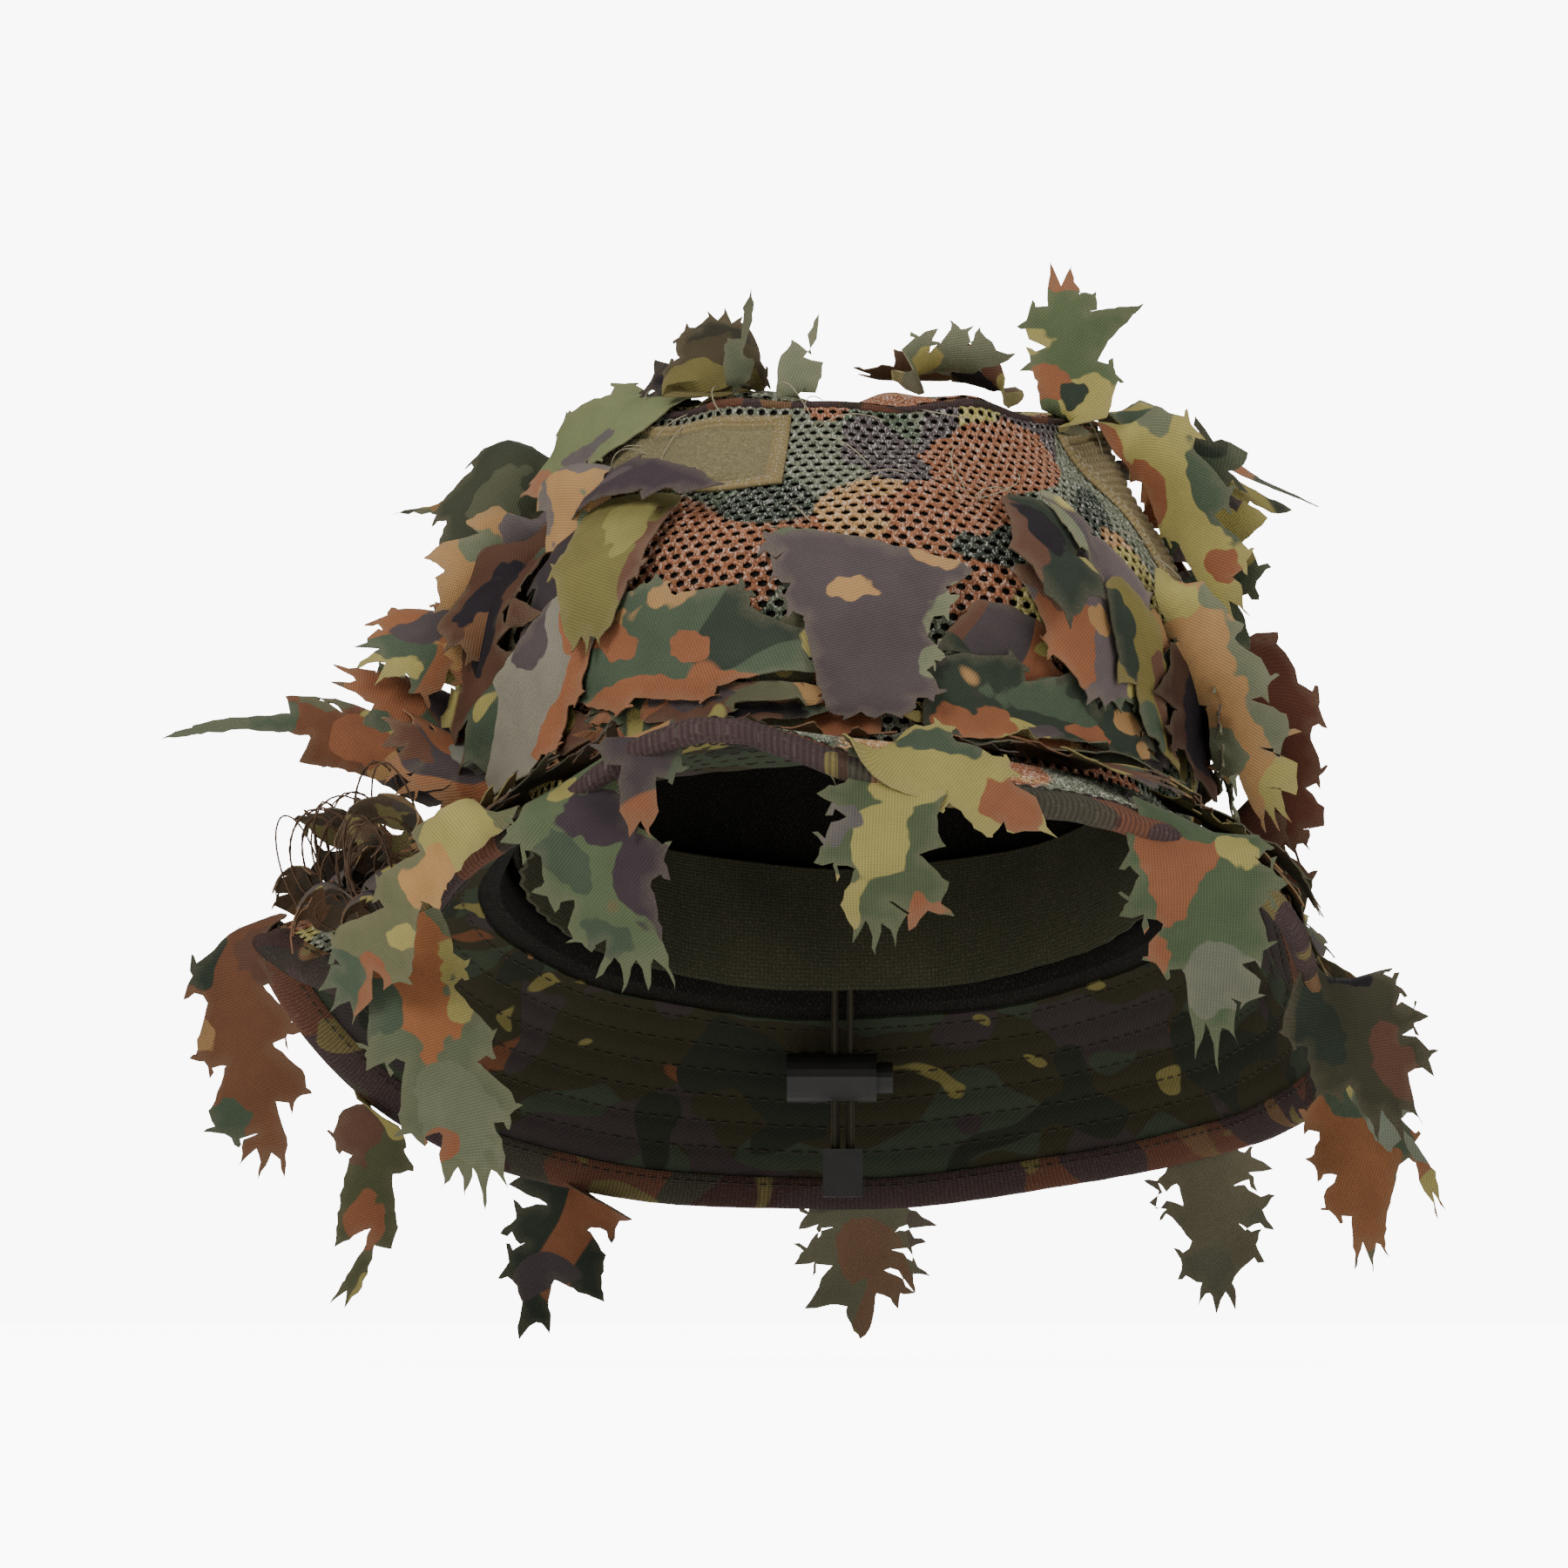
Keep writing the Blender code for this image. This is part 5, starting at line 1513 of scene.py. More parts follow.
def left_leaves():
    laid = LaidLeaf
    # Dark folds between the front and the left side, darkened further by painted shade
    laid("leaf_crown_left_low", 621, -42, -72, -4, 50, dict(
        body=(5, 8, 8, 5), left=[(0.4, 4, 30, 2), (0.75, 4, 40, 1)], right=[(0.55, 3, 20, 1)], tip=(7, 2, 6)),
        dict(ground=(70, 60, 62), shade=0.8, marks=((GREEN, 0, 40, 6, 6, 0),)), curl=5, edge=6, fold=4, ripple=1.5)
    laid("leaf_crown_left_low", 622, -56, -66, -8, 52, dict(width=36),
         dict(ground=(96, 66, 50), shade=0.8, marks=((DARK, 0, 20, 6, 12, 0),)), curl=8, edge=6, fold=5)
    # Grey with a rust edge, low on the front left
    laid("leaf_crown_left_low", 623, -35, -42, -44, 56, dict(
        body=(6, 12, 14, 12, 8), right=[(0.3, 3, 10, 2), (0.55, 4, 20, 3), (0.8, 3, 30, 2)],
        left=[(0.5, 3, 20, 1)], tip=(6, 3, 10)),
        dict(ground=(134, 128, 112), bias=(-0.2, -0.2, -0.2), marks=(
            (RUST, 12, 24, 7, 13, -8), (RUST, 1, 3, 8, 7, 0), (PURPLE, -9, 12, 5, 9, 0))), curl=4, edge=3)
    # Yellow-olive leaf whose edge rolls over at its top and right, with a brown mark down the right
    laid("leaf_crown_front_left_upper", 624, -32, -68, -3, 38, dict(
        body=(13, 13, 11, 6), left=[(0.5, 4, 20, 2)], right=[(0.6, 3, 20, 2)], tip=(5, 3, 8)),
        dict(ground=(120, 112, 64), bias=(-0.5, -0.5, -0.5), marks=(
            (BROWN, 13, 20, 5, 16, 0), ((142, 134, 78), 3, 10, 6, 9, 0))), curl=3, edge=3)
    laid("leaf_crown_front_left_upper", 625, -49, -74, 84, 48, dict(
        body=(5, 6, 5.5, 4), left=[(0.75, 4, 20, 1)], right=[(0.4, 2, 20, 1)], tip=(9, 1, 5), bend=(0, 3, -8)),
        dict(ground=(72, 60, 64), shade=0.85, bias=(-0.5, -0.5, -0.5), marks=(((96, 84, 84), 2, 12, 4, 12, 0),)),
        curl=3, edge=5, fold=6, ripple=0.5)
    # Grey to tan, over the shoulder
    FreeLeaf("leaf_crown_left_upper", 626, -46, -84, 7, (-2, -12, -33), (0.85, -0.5, 0.1), dict(
        body=(8, 10, 8, 5, 3), left=[(0.3, 4, 20, 1), (0.6, 3, 40, 1)], right=[(0.4, 3, 20, 1), (0.7, 4, 40, 2)],
        tip=(8, 2, 5)),
        dict(ground=TAN, bias=(-0.5, -0.5, -0.5), marks=(
            ((112, 102, 96), 0, 0, 14, 7, 0), (GREY_GREEN, 5, 30, 4, 12, 0), ((112, 102, 96), -8, 16, 3, 6, 0))),
        out=(-0.4, -0.7, 0.1), cup=50, grip=0.15, ripple=1.4)
    laid("leaf_crown_left_upper", 627, -31, -112, -64, 56, dict(
        body=(5, 10, 12, 11, 7), left=[(0.35, 4, 20, 2), (0.7, 4, 30, 2)], right=[(0.5, 4, 20, 2), (0.8, 4, 40, 1)],
        tip=(7, 2, 9)),
        dict(ground=(116, 122, 84), bias=(-0.5, -0.5, -0.5), marks=(
            ((98, 90, 86), 5, 34, 5, 10, 20), ((150, 104, 76), 2, 52, 7, 7, 0))), curl=6, edge=5, ripple=1.4)
    face = (0.15, -0.45, -0.9)
    free = FreeLeaf
    free("leaf_crown_left_shoulder", 631, -62, -82, 5, (-21, -14, -26), (0.55, 0.45, -0.7), dict(
        body=(7, 12, 13, 9), left=[(0.4, 3, 30, 1), (0.75, 4, 40, 1)], right=[(0.3, 3, 20, 1), (0.65, 3, 30, 2)],
        tip=(7, 2, 9)),
        dict(ground=TAN, bias=(-0.5, -0.5, -0.5), marks=(
            ((104, 94, 92), 2, 6, 11, 8, 0), (GREY_GREEN, -8, 20, 4, 6, 0), ((104, 94, 92), 6, 24, 5, 6, 0))),
        cup=70, grip=0.2)
    free("leaf_crown_left_shoulder", 632, -56, -72, 5, (-18, -10, -30), (0.6, -0.3, -0.7), dict(
        body=(8, 12, 13, 9), left=[(0.5, 3, 30, 1)], right=[(0.4, 3, 20, 1), (0.75, 4, 40, 2)], tip=(7, 2, 9)),
        dict(ground=(92, 64, 48), shade=0.85, bias=(-0.5, -0.5, -0.5), marks=(
            (DARK, -3, 22, 4, 12, 15), ((112, 96, 84), 7, 10, 4, 7, 0), ((120, 84, 58), 4, 32, 6, 7, 0))),
        cup=60, grip=0.3, ripple=2.0)
    free("leaf_crown_left_shoulder", 633, -64, -56, 5, (-24, -8, -14), face, dict(
        body=(7, 11, 11, 8), left=[(0.35, 4, 20, 2), (0.75, 6, 40, 2)], right=[(0.4, 5, 20, 2), (0.75, 6, 40, 2)],
        tip=(9, 3, 12)),
        dict(ground=(150, 98, 66), marks=((YELLOW, 3, 32, 4, 9, 20), (PURPLE, -5, 16, 5, 8, 0), (TAN, 5, 12, 4, 8, 0))),
        cup=40, grip=0.2)
    free("leaf_crown_left_low", 634, -68, -34, 5, (-27, -6, 6), face, dict(
        body=(7, 10, 9, 5), left=[(0.5, 5, 40, 2), (0.8, 4, 50, 1)], right=[(0.45, 6, 40, 2), (0.75, 4, 50, 1)],
        tip=(11, 2, 8)),
        dict(ground=BROWN, marks=((RUST, 0, 30, 7, 8, 0), (PURPLE, -3, 12, 5, 8, 0))), cup=50, grip=0.2)
    free("leaf_crown_left_low", 635, -64, -22, 5, (-23, -8, 3), face, dict(width=30),
         dict(ground=(168, 118, 82), marks=((BROWN, 0, 26, 5, 8, 0), (GREY, -3, 8, 5, 6, 0))), cup=50, grip=0.2)
    # The dark leaf that curls off the left shoulder, with a thin end behind it
    free("leaf_stand_left_shoulder", 636, -78, -105, 3, (-27, -16, -27), (0.8, -0.2, -0.55), dict(
        body=(9, 14, 13, 7), left=[(0.3, 4, 20, 2), (0.65, 5, 40, 2)], right=[(0.4, 4, 20, 2), (0.75, 5, 40, 1)],
        tip=(8, 3, 9)),
        dict(ground=(66, 69, 52), shade=0.85, bias=(-0.5, -0.5, -0.5), marks=(((88, 90, 68), 0, 24, 5, 12, 0),)),
        out=(-0.9, -0.3, 0.3), cup=60, grip=0.2)
    free("leaf_stand_left_shoulder", 637, -84, -98, 2, (-30, 6, -2), (-0.1, 0.3, -0.9), dict(
        body=(5, 5, 3, 1.5), left=[(0.4, 5, 50, 1)], right=[(0.5, 3, 40, 1)], tip=(12, 1, 2)),
        dict(ground=GREY_GREEN, shade=0.9, marks=((TAN, 2, 18, 4, 5, 0),)), out=(-0.9, 0, 0.4), cup=40, grip=0.2)
    # The brown cone that sticks out on the left and ends in a long thin green finger
    free("leaf_stand_left_brim", 638, -84, -20, 5, (-74, -6, 16), (0.0, -0.55, -0.9), dict(
        body=(8, 13, 14, 8, 2.2, 1.6, 1.0), left=[(0.26, 5, 50, 2), (0.42, 8, 70, 2), (0.56, 5, 60, 1)],
        right=[(0.5, 4, 60, 1)], tip=(6, 1, 1.5), bend=(0, 1, 4)),
        dict(ground=(118, 76, 54), bias=(0.0, -0.2, 0.0), marks=(
            (GREEN, 3, 66, 8, 24, 0), (OLIVE, -8, 40, 6, 6, 0), (RUST, 2, 30, 8, 8, 0), (DARK, 4, 10, 8, 10, 0))),
        out=(-0.75, -0.1, 0.66), into=(-0.97, 0, -0.24), cup=78, grip=0.1, ripple=0.4)
    # Crumpled brown leaves on the left of the brim
    for k in range(CRUMPLED):
        azimuth, run = -52 - 3.6 * k, (38, 28, 42)[k % 3]
        free("leaf_brim_left", 640 + k, azimuth, run, 2, ((6, -7, 0)[k % 3], -17, (13, 17, 6)[k % 3]),
             ((0.9, 0.2, 0.3), (0.8, -0.3, -0.5), (1.0, 0.0, -0.3))[k % 3], dict(width=26 + 5 * (k % 2)),
             dict(ground=((104, 68, 48), (82, 56, 42), (122, 82, 56), (66, 50, 42))[k % 4], shade=0.85,
                  bias=(0.0, -0.2, 0.0), marks=((DARK, 2, 10, 6, 7, 0), (YELLOW, -5, 18, 2, 3, 0))),
             out=(-0.2, -0.3, 1.0), into=(0.1, -1.0, -0.2), cup=95, grip=0.0, ripple=2.4)


def right_leaves():
    laid, free = LaidLeaf, FreeLeaf
    laid("leaf_crown_right_side", 651, 37, -46, 26, 44, dict(
        body=(4, 8, 9, 5), left=[(0.4, 4, 30, 1), (0.75, 4, 40, 1)], right=[(0.55, 4, 40, 2)], tip=(8, 1, 5)),
        dict(ground=(128, 116, 64), shade=0.85, marks=((BROWN, 4, 28, 4, 12, 0), (DARK_GREEN, -5, 12, 4, 10, 0))),
        curl=6, edge=6, fold=5)
    # A dark brown leaf under the tan one, whose painted shade and dark mark paint the shadow under it.
    laid("leaf_crown_right_side", 652, 52, -40, 20, 40, dict(width=34),
         dict(ground=(84, 58, 46), shade=0.7, marks=((DARK, 0, 18, 7, 12, 0),)), curl=7, edge=5, fold=3)
    laid("leaf_crown_right_side", 653, 66, -46, 10, 44, dict(width=38),
         dict(ground=GREY_GREEN, shade=0.95, marks=((TAN, 0, 20, 6, 9, 0),)), curl=9, edge=5)
    face = (0.9, -0.35, 0.35)
    free("leaf_crown_right_side", 654, 50, -55, 5, (25, 6, -56), face, dict(
        body=(4, 7, 8, 7, 4), left=[(0.2, 3, 0, 2), (0.48, 3, 20, 1), (0.75, 4, 40, 2)],
        right=[(0.3, 2, 20, 1), (0.5, 5, 40, 2), (0.68, 6, 60, 2), (0.85, 5, 70, 1)], tip=(9, 3, 7)),
        dict(ground=TAN, bias=(-0.5, -0.5, -0.5), marks=(
            (YELLOW, -1, 4, 6, 7, 0), (GREY_GREEN, 8, 34, 4, 17, 0), (GREY_GREEN, -5, 46, 4, 7, 0),
            (YELLOW, 4, 56, 5, 6, 0), (GREY_GREEN, 7, 10, 3, 6, 0))), out=(0.4, -0.4, -0.6), cup=30, grip=0.15)
    # Dark red-brown, curled, behind the right edge
    free("leaf_stand_right_back", 655, 86, -48, 4, (17, 2, -40), (0.9, -0.3, 0.3), dict(
        body=(8, 9, 9, 7, 5), left=[(0.4, 4, 30, 2), (0.75, 4, 30, 2)],
        right=[(0.12, 6, -20, 2), (0.34, 6, 0, 2), (0.62, 4, 30, 2), (0.84, 4, 50, 1)], tip=(8, 3, 8)),
        dict(ground=(96, 56, 42), shade=0.8, bias=(-0.2, -0.2, -0.2), marks=((DARK, -5, 26, 5, 10, 0),)),
        out=(0.95, -0.1, 0.2), cup=40, grip=0.1, ripple=1.4)
    free("leaf_stand_right_back", 656, 92, -16, 4, (20, 0, -30), (0.9, -0.3, 0.3), dict(
        body=(6, 9, 8, 5), left=[(0.4, 4, 30, 2)], right=[(0.3, 4, 30, 2), (0.6, 5, 30, 2)], tip=(8, 2, 6)),
        dict(ground=(88, 54, 42), shade=0.8, bias=(-0.2, -0.2, -0.2)), out=(0.9, -0.2, 0), cup=30, grip=0.2)
    # The fan over the right shoulder
    free("leaf_stand_right_shoulder", 657, 70, -112, 3, (42, 6, -16), (-0.25, 0.75, 0.6), dict(
        body=(7, 11, 10, 6, 2), left=[(0.35, 4, 20, 1), (0.65, 4, 40, 1)],
        right=[(0.3, 4, 20, 1), (0.55, 7, 40, 2), (0.78, 6, 55, 2)], tip=(16, 1, 3)),
        dict(ground=GREY_GREEN, marks=((YELLOW, 3, 30, 6, 9, 0), (GREEN, -6, 14, 6, 10, 0), (DARK_GREEN, 0, 50, 6, 10, 0),
                                       (RUST, 7, 42, 4, 6, 0))),
        out=(0.8, -0.4, 0.45), cup=40, grip=0.2)
    free("leaf_stand_right_shoulder", 658, 64, -108, 3, (30, -10, -46), (0.75, -0.5, 0.4), dict(
        body=(5, 9, 9, 7, 4), left=[(0.3, 3, 10, 1), (0.6, 3, 30, 2)],
        right=[(0.3, 4, 10, 2), (0.55, 5, 30, 2), (0.8, 5, 40, 2)], tip=(9, 2, 6)),
        dict(ground=YELLOW, bias=(-0.2, -0.2, -0.2), marks=(
            (RUST, -7, 20, 4, 18, 0), (GREEN, 8, 34, 5, 14, 0), (GREY_GREEN, 6, 8, 6, 8, 0), (RUST, 4, 50, 5, 5, 0))),
        out=(0.45, -0.6, 0.0), cup=30, grip=0.2)
    free("leaf_stand_right_shoulder", 659, 72, -100, 3, (28, 2, -40), (0.8, -0.5, 0.3), dict(width=32),
         dict(ground=GREEN, marks=((YELLOW, 4, 26, 5, 8, 0), (RUST, -5, 14, 4, 8, 0))), out=(0.9, 0, 0.1), grip=0.2)
    free("leaf_stand_right_shoulder", 660, 78, -104, 3, (40, 8, -8), (-0.2, 0.6, 0.7), dict(width=26),
         dict(ground=DARK_GREEN, shade=0.85), out=(0.9, 0, 0.4), cup=30, grip=0.2)
    # The green leaf that stands on the crown's right
    free("leaf_stand_top_right", 661, 52, -104, 1.5, (-2, -3, 35), (-1, -0.1, 0), dict(
        body=(6, 9, 8, 7, 4), right=[(0.48, 5, 20, 2), (0.76, 5, 44, 2)],
        left=[(0.36, 4, 30, 2), (0.66, 15, 14, 1), (0.84, 3, 40, 1)], tip=(9, 2, 7)),
        dict(ground=(92, 104, 72), bias=(-0.2, -0.2, -0.2), marks=(
            (YELLOW, -4, 6, 8, 7, 20), (RUST, 6, 12, 5, 5, 0), (YELLOW, 9, 23, 3.5, 3, 0), (RUST, 0, 40, 7, 6, 0),
            (DARK_GREEN, 0, 8, 3, 3.4, 0))), out=(0.2, -0.2, 1), cup=24, grip=0.15, ripple=1.2)
    free("leaf_stand_top_middle", 662, 48, -122, 3, (-34, 4, 8), (-0.2, 0.8, -0.3), dict(
        body=(4, 6, 6, 4), left=[(0.4, 4, 30, 2), (0.75, 3, 40, 1)], right=[(0.35, 5, 30, 2), (0.7, 4, 40, 2)],
        tip=(8, 2, 5)),
        dict(ground=BROWN, marks=((GREY, -3, 20, 5, 9, 0), (DARK, 3, 10, 4, 7, 0))), out=(-0.6, 0, 0.8), cup=60,
        grip=0.2)
    free("leaf_stand_top_middle", 663, 14, -122, 2, (24, 6, 8), (0.0, -0.7, 0.5), dict(width=18),
         dict(ground=GREY_GREEN, marks=((YELLOW, 0, 8, 4, 5, 0),)), out=(0.4, 0, 0.8), cup=60, grip=0.2)
    free("leaf_stand_top_left", 664, -24, -106, 1.5, (1, 6, 18), (-1, -0.1, 0), dict(
        body=(12, 13, 12, 7), right=[(0.45, 3, 30, 2), (0.8, 3, 50, 2)], left=[(0.5, 3, 20, 2)], tip=(5, 3, 9)),
        dict(ground=(80, 70, 50), shade=0.85, bias=(-0.5, -0.5, -0.5), marks=(
            ((118, 108, 62), 1, 3, 14, 7, 0), ((60, 56, 44), 2, 19, 9, 3, 0))), cup=64, grip=0.15, ripple=1.6)
    free("leaf_stand_top_left", 669, -19, -104, 2, (2, 2, 20), (-1, -0.4, 0), dict(
        body=(2, 2.6, 2.2, 1.2), right=[(0.5, 1.5, 50, 1)], left=[(0.35, 2, 50, 1)], tip=(5, 1, 1.5)),
        dict(ground=(96, 102, 78), shade=0.85, bias=(-0.5, -0.5, -0.5)), cup=50, grip=0.1)
    free("leaf_stand_top_left", 665, -9, -106, 1, (4, 5, 17), (-1, -0.2, 0), dict(
        body=(4, 3, 2, 1), left=[(0.5, 3, 60, 1)], right=[(0.6, 4, 66, 1)], tip=(6, 1, 2)),
        dict(ground=GREY_GREEN, shade=0.95), cup=20, grip=0.1)
    free("leaf_stand_top_left", 666, -34, -112, 1.5, (-8, 4, 9), (-0.8, -0.3, -0.5), dict(width=18),
         dict(ground=DARK, shade=0.9, bias=(-0.2, -0.2, -0.2)), cup=60, grip=0.1)
    free("leaf_top_back", 667, 160, -150, 2, (6, 34, 0), (1, 0, 0), dict(width=30),
         dict(ground=GREY_GREEN, marks=((RUST, 0, 18, 6, 7, 0),)), out=(0.1, 0.9, 0.3), cup=10)
    # The dark leaf on the right of the brim
    laid("leaf_brim_right", 668, 54, 6, 22, 35, dict(
        body=(7, 12, 13, 10), left=[(0.4, 4, 20, 2), (0.75, 5, 30, 2)],
        right=[(0.3, 4, 20, 2), (0.6, 5, 30, 3), (0.85, 4, 40, 2)], tip=(6, 3, 10)),
        dict(ground=(70, 72, 54), shade=0.75, bias=(-0.2, -0.2, -0.2), marks=((BROWN, 6, 34, 6, 9, 0), (DARK, -4, 16, 6, 9, 0))),
        curl=5, edge=3)


# Painted shade laid on every hanging leaf, darkening leaves that face the lamps head on.
HANG_PAINTED_SHADE = 0.8


def hanging_leaves():
    """Leaves sewn beside the binding, which swing on the CAD's hinges. Tips are in mm from the hinge."""
    def hang(name, azimuth, seed, tip, cut, look, side=(1, 0, 0.0), **more):
        host = "leaf_hang_" + name
        lift = 1.6 + float(FLOOR[cells_of(azimuth, HANG_ROOT_RUN)]) * 0.5
        # Each hanging leaf is darkened further with painted shade.
        look = dict(look, shade=look.get("shade", 1.0) * HANG_PAINTED_SHADE)
        FreeLeaf(host, seed, azimuth, HANG_ROOT_RUN, lift, tip, side, cut, look, body=host, **more)

    down = (0, 0, -1)
    hang("front_left", -23, 701, (13, -13, -41), dict(
        body=(8, 11, 11, 10, 6), left=[(0.3, 6, 0, 3), (0.55, 5, 20, 2), (0.8, 5, 50, 2)],
        right=[(0.35, 4, 10, 2), (0.62, 5, 30, 2)], tip=(11, 4, 16)),
        dict(ground=(100, 112, 80), shade=0.9, bias=(-0.2, -0.2, -0.2), marks=(
            ((74, 62, 66), 5, 18, 9, 7, 20), ((74, 62, 66), 7, 34, 7, 9, 0), (GREEN, -6, 24, 5, 6, 0), (YELLOW, -2, 7, 3, 4, 0),
            (GREEN, -6, 42, 5, 7, 0))), into=down)
    hang("front_left", -16, 702, (-2, -8, -20), dict(
        body=(5, 7, 6, 4), left=[(0.4, 4, 30, 2)], right=[(0.5, 4, 40, 2)], tip=(6, 2, 6)),
        dict(ground=(80, 70, 70), shade=0.85), into=down)
    hang("front", 4, 703, (-5, -11, -36), dict(
        body=(10, 11, 9, 9, 7), left=[(0.36, 6, 10, 3), (0.62, 6, 40, 3)], right=[(0.5, 4, 20, 1), (0.78, 9, 66, 2)],
        tip=(9, 3, 10)),
        dict(ground=(88, 98, 70), shade=0.9, bias=(-0.2, -0.2, -0.2), marks=(
            (YELLOW, 3, 7, 12, 8, 0), (YELLOW, -1, 23, 6, 10, 25), (YELLOW, -8, 33, 3, 7, 0), (RUST, 11, 42, 5, 9, 0),
            ((104, 98, 94), -11, 22, 4, 6, 0))), into=down)
    hang("front", 1, 704, (36, -10, -17), dict(
        body=(7, 8, 7, 5), left=[(0.5, 3, 20, 2), (0.8, 3, 40, 1)], right=[(0.35, 3, 10, 2), (0.7, 3, 30, 2)],
        tip=(9, 1, 5)),
        dict(ground=YELLOW, shade=0.92, bias=(-0.2, -0.2, -0.2), marks=((RUST, 1, 34, 6, 7, 0), (GREEN, 6, 14, 3, 8, 0))),
        side=(0.4, 0.3, 0.85), out=(0.75, -0.5, -0.1), into=(0.8, -0.2, -0.55), grip=0.3)
    hang("front_right", 29, 705, (8, -8, -46), dict(
        body=(11, 13, 12, 9, 5), left=[(0.22, 5, -10, 2), (0.44, 7, 20, 3), (0.68, 5, 50, 2)],
        right=[(0.25, 5, 0, 2), (0.42, 6, 10, 3), (0.66, 5, 30, 2), (0.84, 4, 60, 2)], tip=(12, 3, 10)),
        dict(ground=(84, 98, 70), shade=0.9, bias=(-0.2, -0.2, -0.2), marks=(
            (RUST, -4, 12, 10, 6, 25), (YELLOW, 8, 14, 3.5, 3.5, 0), (RUST, -6, 22, 4.5, 8, 0),
            ((112, 114, 96), 1, 40, 12, 7, 0), (RUST, -10, 36, 4, 6, 0))), into=(0.1, 0, -1))
    hang("left_front", -44, 706, (12, -14, -64), dict(
        body=(9, 11, 10, 10, 7), left=[(0.28, 5, 10, 3), (0.5, 6, 30, 3), (0.76, 6, 50, 2)],
        right=[(0.35, 4, 10, 2), (0.6, 5, 30, 2), (0.8, 4, 50, 2)], tip=(11, 4, 14)),
        dict(ground=(104, 110, 82), shade=0.92, bias=(-0.2, -0.2, -0.2), marks=(
            ((164, 106, 68), 1, 22, 8, 20, 0), (GREY_GREEN, 0, 56, 8, 12, 0), (GREEN, -8, 30, 4, 8, 0),
            (YELLOW, 9, 28, 3, 7, 0), (RUST, -6, 62, 4, 4, 0))), into=down)
    # The yellow and orange strap over the brim's left edge
    FreeLeaf("leaf_hang_left_front", 645, -29, 56, 3.4, (-38, 20, -40), (0.7, -0.25, -0.66), dict(
        body=(4, 5.5, 5.5, 5.5, 7, 6), left=[(0.3, 3, 30, 1), (0.55, 4, 40, 2), (0.82, 5, 50, 2)],
        right=[(0.42, 3, 30, 1), (0.75, 5, 50, 2)], tip=(8, 3, 12)),
        dict(ground=(112, 112, 80), shade=0.85, bias=(-0.2, -0.2, -0.2), marks=(
            (YELLOW, 0, 14, 9, 9, 0), ((188, 142, 88), 3, 26, 7, 8, 0), (RUST, 3, 56, 5, 7, 0), (YELLOW, 4, 41, 3, 5, 30),
            (GREEN, -3, 60, 7, 8, 0))), body="leaf_hang_left_front", out=(-0.55, -0.8, -0.1), into=(-0.6, 0.3, -0.75),
        cup=24, grip=0.1)
    hang("left", -84, 707, (-3, -8, -58), dict(
        body=(5, 7, 9, 8, 5), left=[(0.3, 6, 0, 2), (0.55, 5, 30, 2), (0.82, 8, 56, 2)],
        right=[(0.3, 3, 10, 2), (0.52, 5, 30, 3), (0.74, 5, 66, 2)], tip=(9, 3, 12)),
        dict(ground=(124, 82, 58), shade=0.88, bias=(-0.2, -0.2, -0.2), marks=(
            (GREEN, -11, 56, 6, 12, 20), (BROWN, 6, 12, 8, 9, 0), (DARK_GREEN, -10, 16, 5, 6, 0), (TAN, -10, 30, 3, 4, 0))),
        into=(-0.2, 0, -1))
    hang("left_back", -118, 708, (-6, 2, -58), dict(
        body=(7, 8, 6, 4, 2.5), left=[(0.3, 4, 30, 2), (0.62, 6, 60, 1)], right=[(0.4, 4, 30, 1), (0.7, 3, 50, 1)],
        tip=(8, 2, 5), bend=(0, 3, -6)),
        dict(ground=(88, 90, 62), shade=0.9, marks=((BROWN, -2, 16, 7, 8, 0), (RUST, 0, 38, 5, 6, 0), (YELLOW, 0, 58, 4, 7, 0))),
        into=(-0.4, 0, -1))
    hang("back_left", -150, 709, (-14, 6, -44), dict(width=32), dict(ground=DARK_GREEN, shade=0.85), into=down)
    hang("back", 178, 710, (0, 9, -40), dict(width=34), dict(ground=GREY_GREEN, marks=((RUST, 0, 20, 7, 9, 0),)),
         side=(-1, 0, 0), into=down)
    hang("back_right", 138, 711, (8, 8, -44), dict(width=34), dict(ground=OLIVE), side=(-1, 0.6, 0), into=down)
    hang("right", 94, 712, (8, -4, -46), dict(
        body=(9, 11, 10, 8, 4), left=[(0.3, 5, 10, 2), (0.55, 5, 30, 2), (0.78, 4, 50, 2)],
        right=[(0.3, 4, 10, 2), (0.5, 5, 20, 2)], tip=(10, 3, 9)),
        dict(ground=(148, 98, 64), bias=(-0.2, -0.2, -0.2), marks=(
            (GREEN, 1, 9, 9, 9, 0), (GREY_GREEN, 3, -1, 6, 6, 0), (GREEN, 9, 26, 3, 9, 0), (OLIVE, 0, 52, 5, 4, 0))),
        into=(0.1, 0, -1))
    hang("right", 88, 713, (22, -6, -36), dict(
        body=(3, 3.5, 3, 2), left=[(0.6, 3, 60, 1)], right=[(0.5, 3, 50, 1)], tip=(10, 2, 3)),
        dict(ground=(122, 130, 112)), into=(0.3, 0, -1))
    hang("right_front", 58, 714, (17, -2, -34), dict(
        body=(10, 13, 12, 10, 6), left=[(0.35, 4, 20, 2), (0.7, 5, 50, 2)],
        right=[(0.2, 4, 10, 2), (0.38, 4, 10, 2), (0.56, 5, 20, 3), (0.76, 6, 40, 2)], tip=(11, 3, 12)),
        dict(ground=(74, 72, 54), shade=0.8, bias=(-0.2, -0.2, -0.2), marks=(
            (BROWN, 5, 30, 4.5, 9, 0), (DARK_GREEN, -7, 14, 6, 9, 20), (DARK, 6, 8, 5, 6, 0))), into=(0.4, 0, -1))


# ---------------------------------------------------------------- size adjuster


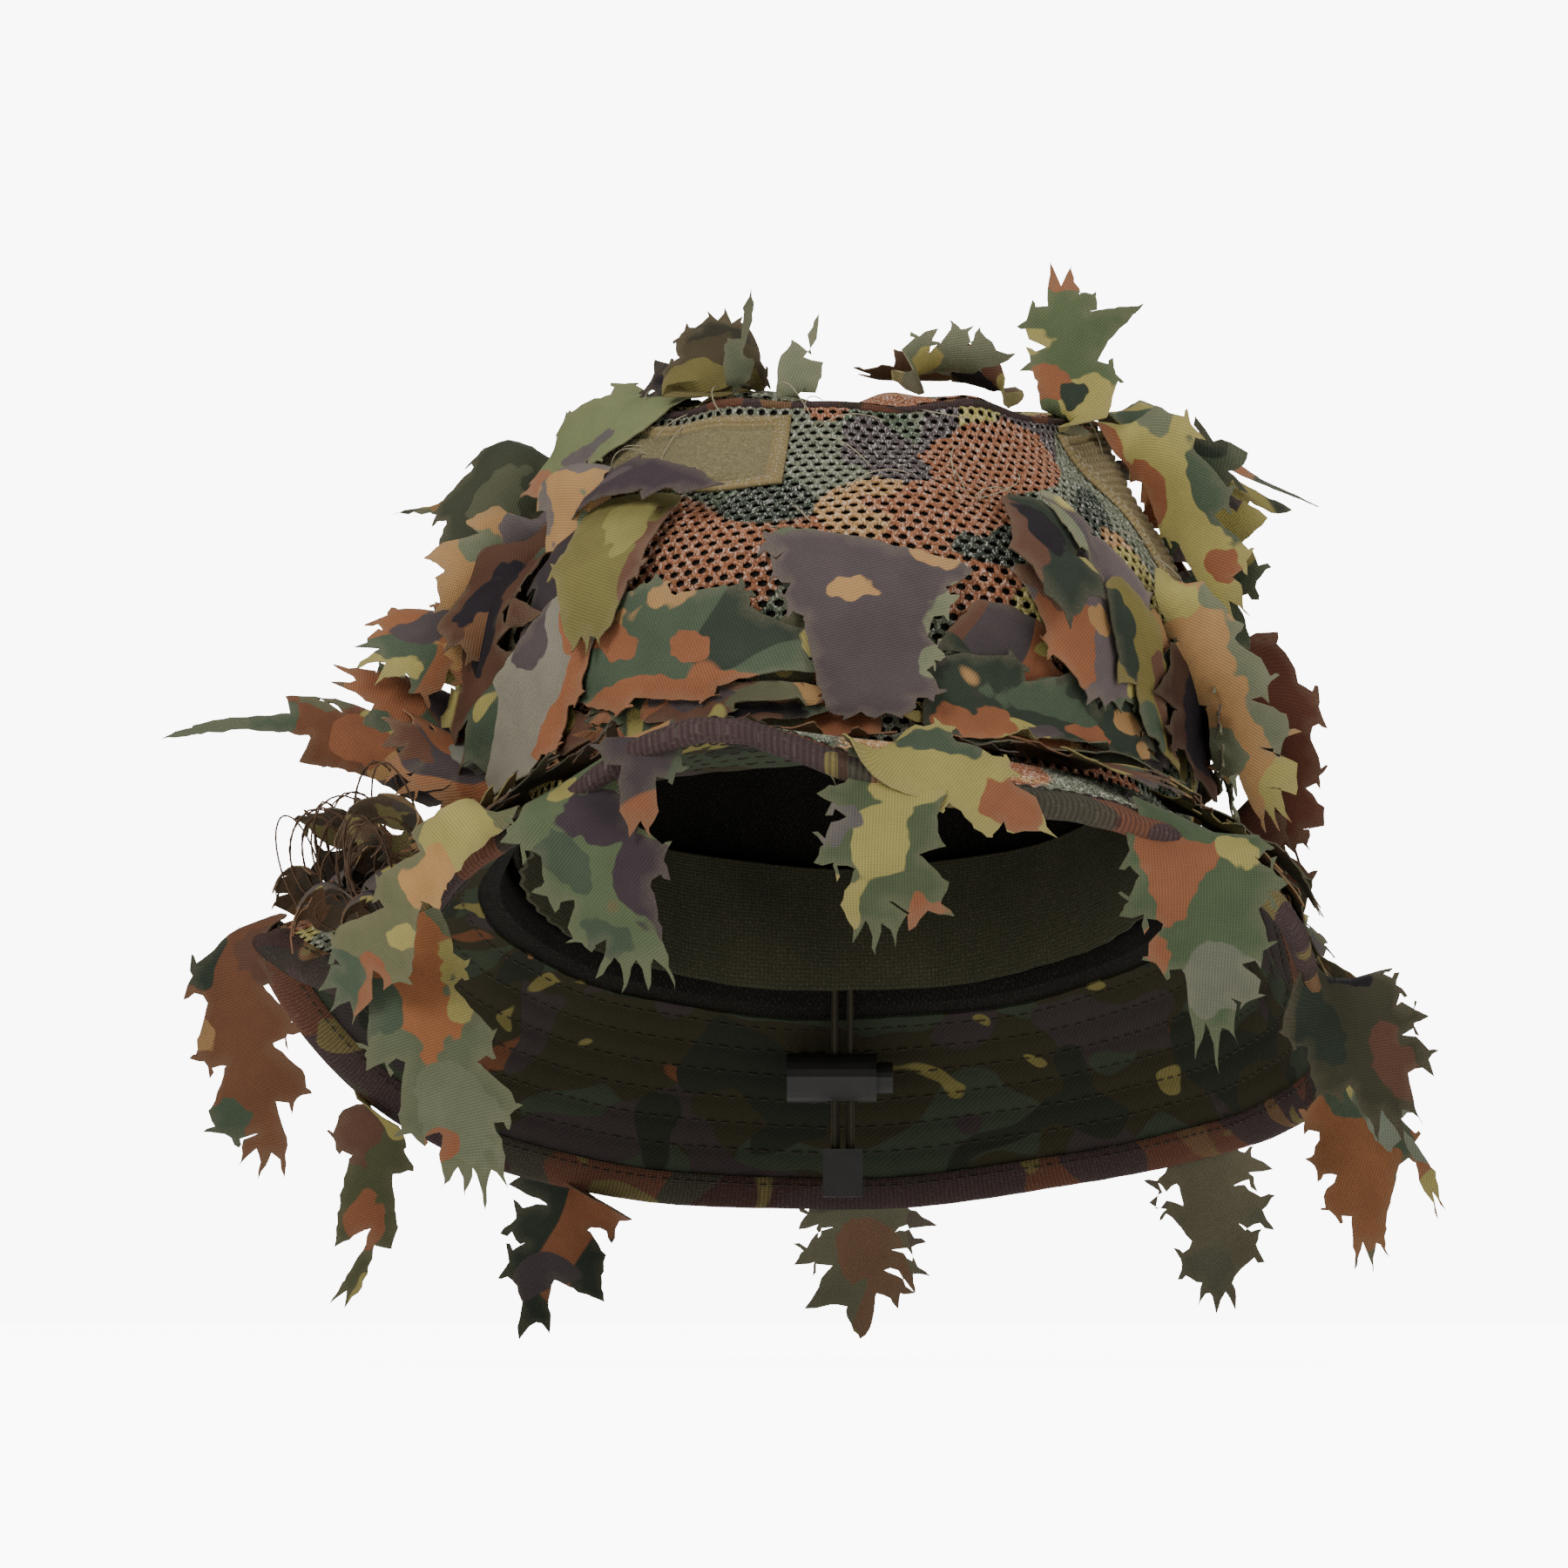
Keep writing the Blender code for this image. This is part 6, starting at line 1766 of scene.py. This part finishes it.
def make_adjuster():
    for name, slot, material in (
        ("drawcord", "cord", "cord"), ("cord_end_bead", "lock_plastic", "plastic"),
        ("cord_lock_barrel", "lock_plastic", "plastic"), ("cord_lock_plunger", "lock_plastic", "plastic"),
        ("cord_lock_spring", "spring_steel", "steel"),
    ):
        node = frame["nodes"][name]
        node.data.materials.clear()
        node.data.materials.append(MATERIALS[material])


    spring = frame["nodes"]["cord_lock_spring"]
    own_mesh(spring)


# ---------------------------------------------------------------- studio

def area_light(name, place, target, size, power, colour=(1, 1, 1)):
    light = bpy.data.lights.new(name, "AREA")
    light.shape = "RECTANGLE"
    light.size, light.size_y = size
    light.energy = power
    light.color = colour
    lamp = bpy.data.objects.new(name, light)
    lamp.location = place
    lamp.rotation_euler = (Vector(target) - Vector(place)).to_track_quat("-Z", "Y").to_euler()
    bpy.context.scene.collection.objects.link(lamp)


WORLD_LIGHT, WORLD_SEEN, FLOOR_LIGHT = 0.24, 9.0, 0.5


def make_studio():
    floor_material = Nodes("studio_floor")
    place = floor_material.add("NewGeometry").outputs["Position"]
    grain = floor_material.noise(place, 300, 3)
    tone = floor_material.mix(grain, (0.80, 0.80, 0.80), (0.83, 0.83, 0.82))
    floor_material.finish(tone, 0.8, floor_material.bump(grain, 0.05, 0.0002), specular=0.2)
    floor_material.shader.inputs["Emission Color"].default_value = (1, 1, 1, 1)
    seen = floor_material.add("LightPath").outputs["Is Camera Ray"]
    glow = floor_material.math("MULTIPLY_ADD", seen, WORLD_SEEN, FLOOR_LIGHT)
    floor_material.feed(floor_material.shader.inputs["Emission Strength"], glow)
    mesh = bpy.data.meshes.new("studio_floor")
    mesh.from_pydata([(-4, -4, 0), (4, -4, 0), (4, 4, 0), (-4, 4, 0)], [], [(0, 1, 2, 3)])
    floor = bpy.data.objects.new("studio_floor", mesh)
    floor.location.z = CAD_BOX[0][2] - 0.001
    mesh.materials.append(floor_material.material)
    bpy.context.scene.collection.objects.link(floor)
    world = bpy.data.worlds.new("studio")
    world.use_nodes = True
    background = world.node_tree.nodes["Background"]
    background.inputs["Color"].default_value = (1, 1, 1, 1)
    path = world.node_tree.nodes.new("ShaderNodeLightPath")
    strength = world.node_tree.nodes.new("ShaderNodeMapRange")
    strength.inputs["To Min"].default_value = WORLD_LIGHT
    strength.inputs["To Max"].default_value = WORLD_SEEN
    world.node_tree.links.new(path.outputs["Is Camera Ray"], strength.inputs["Value"])
    world.node_tree.links.new(strength.outputs["Result"], background.inputs["Strength"])
    bpy.context.scene.world = world
    target = (0, 0, 0.14)
    area_light("key", (-1.0, -1.4, 1.3), target, (0.7, 0.9), 27)
    area_light("fill", (1.4, -1.3, 0.8), target, (0.8, 1.0), 12)
    area_light("top", (0.1, -0.1, 1.9), target, (1.0, 1.0), 11)
    area_light("rim", (0.5, 1.7, 1.2), target, (1.0, 1.0), 10)


def make_camera():
    camera = bpy.data.cameras.new("camera")
    camera.sensor_width = 36
    camera.lens = 118
    camera.clip_start, camera.clip_end = 0.05, 20
    eye = Vector((PLACE[0] - 6, PLACE[1] - 1200, PLACE[2] - 99)) * MM
    target = Vector((0.0, 0.0, 0.132))
    thing = bpy.data.objects.new("camera", camera)
    thing.location = eye
    thing.rotation_euler = (target - eye).to_track_quat("-Z", "Y").to_euler()
    bpy.context.scene.collection.objects.link(thing)
    bpy.context.scene.camera = thing


make_crown()
make_brim()
make_sewing()
make_threads()
make_panels()
make_leaves()
gather_leaves()
make_adjuster()
make_studio()
make_camera()

bpy.context.view_layer.update()
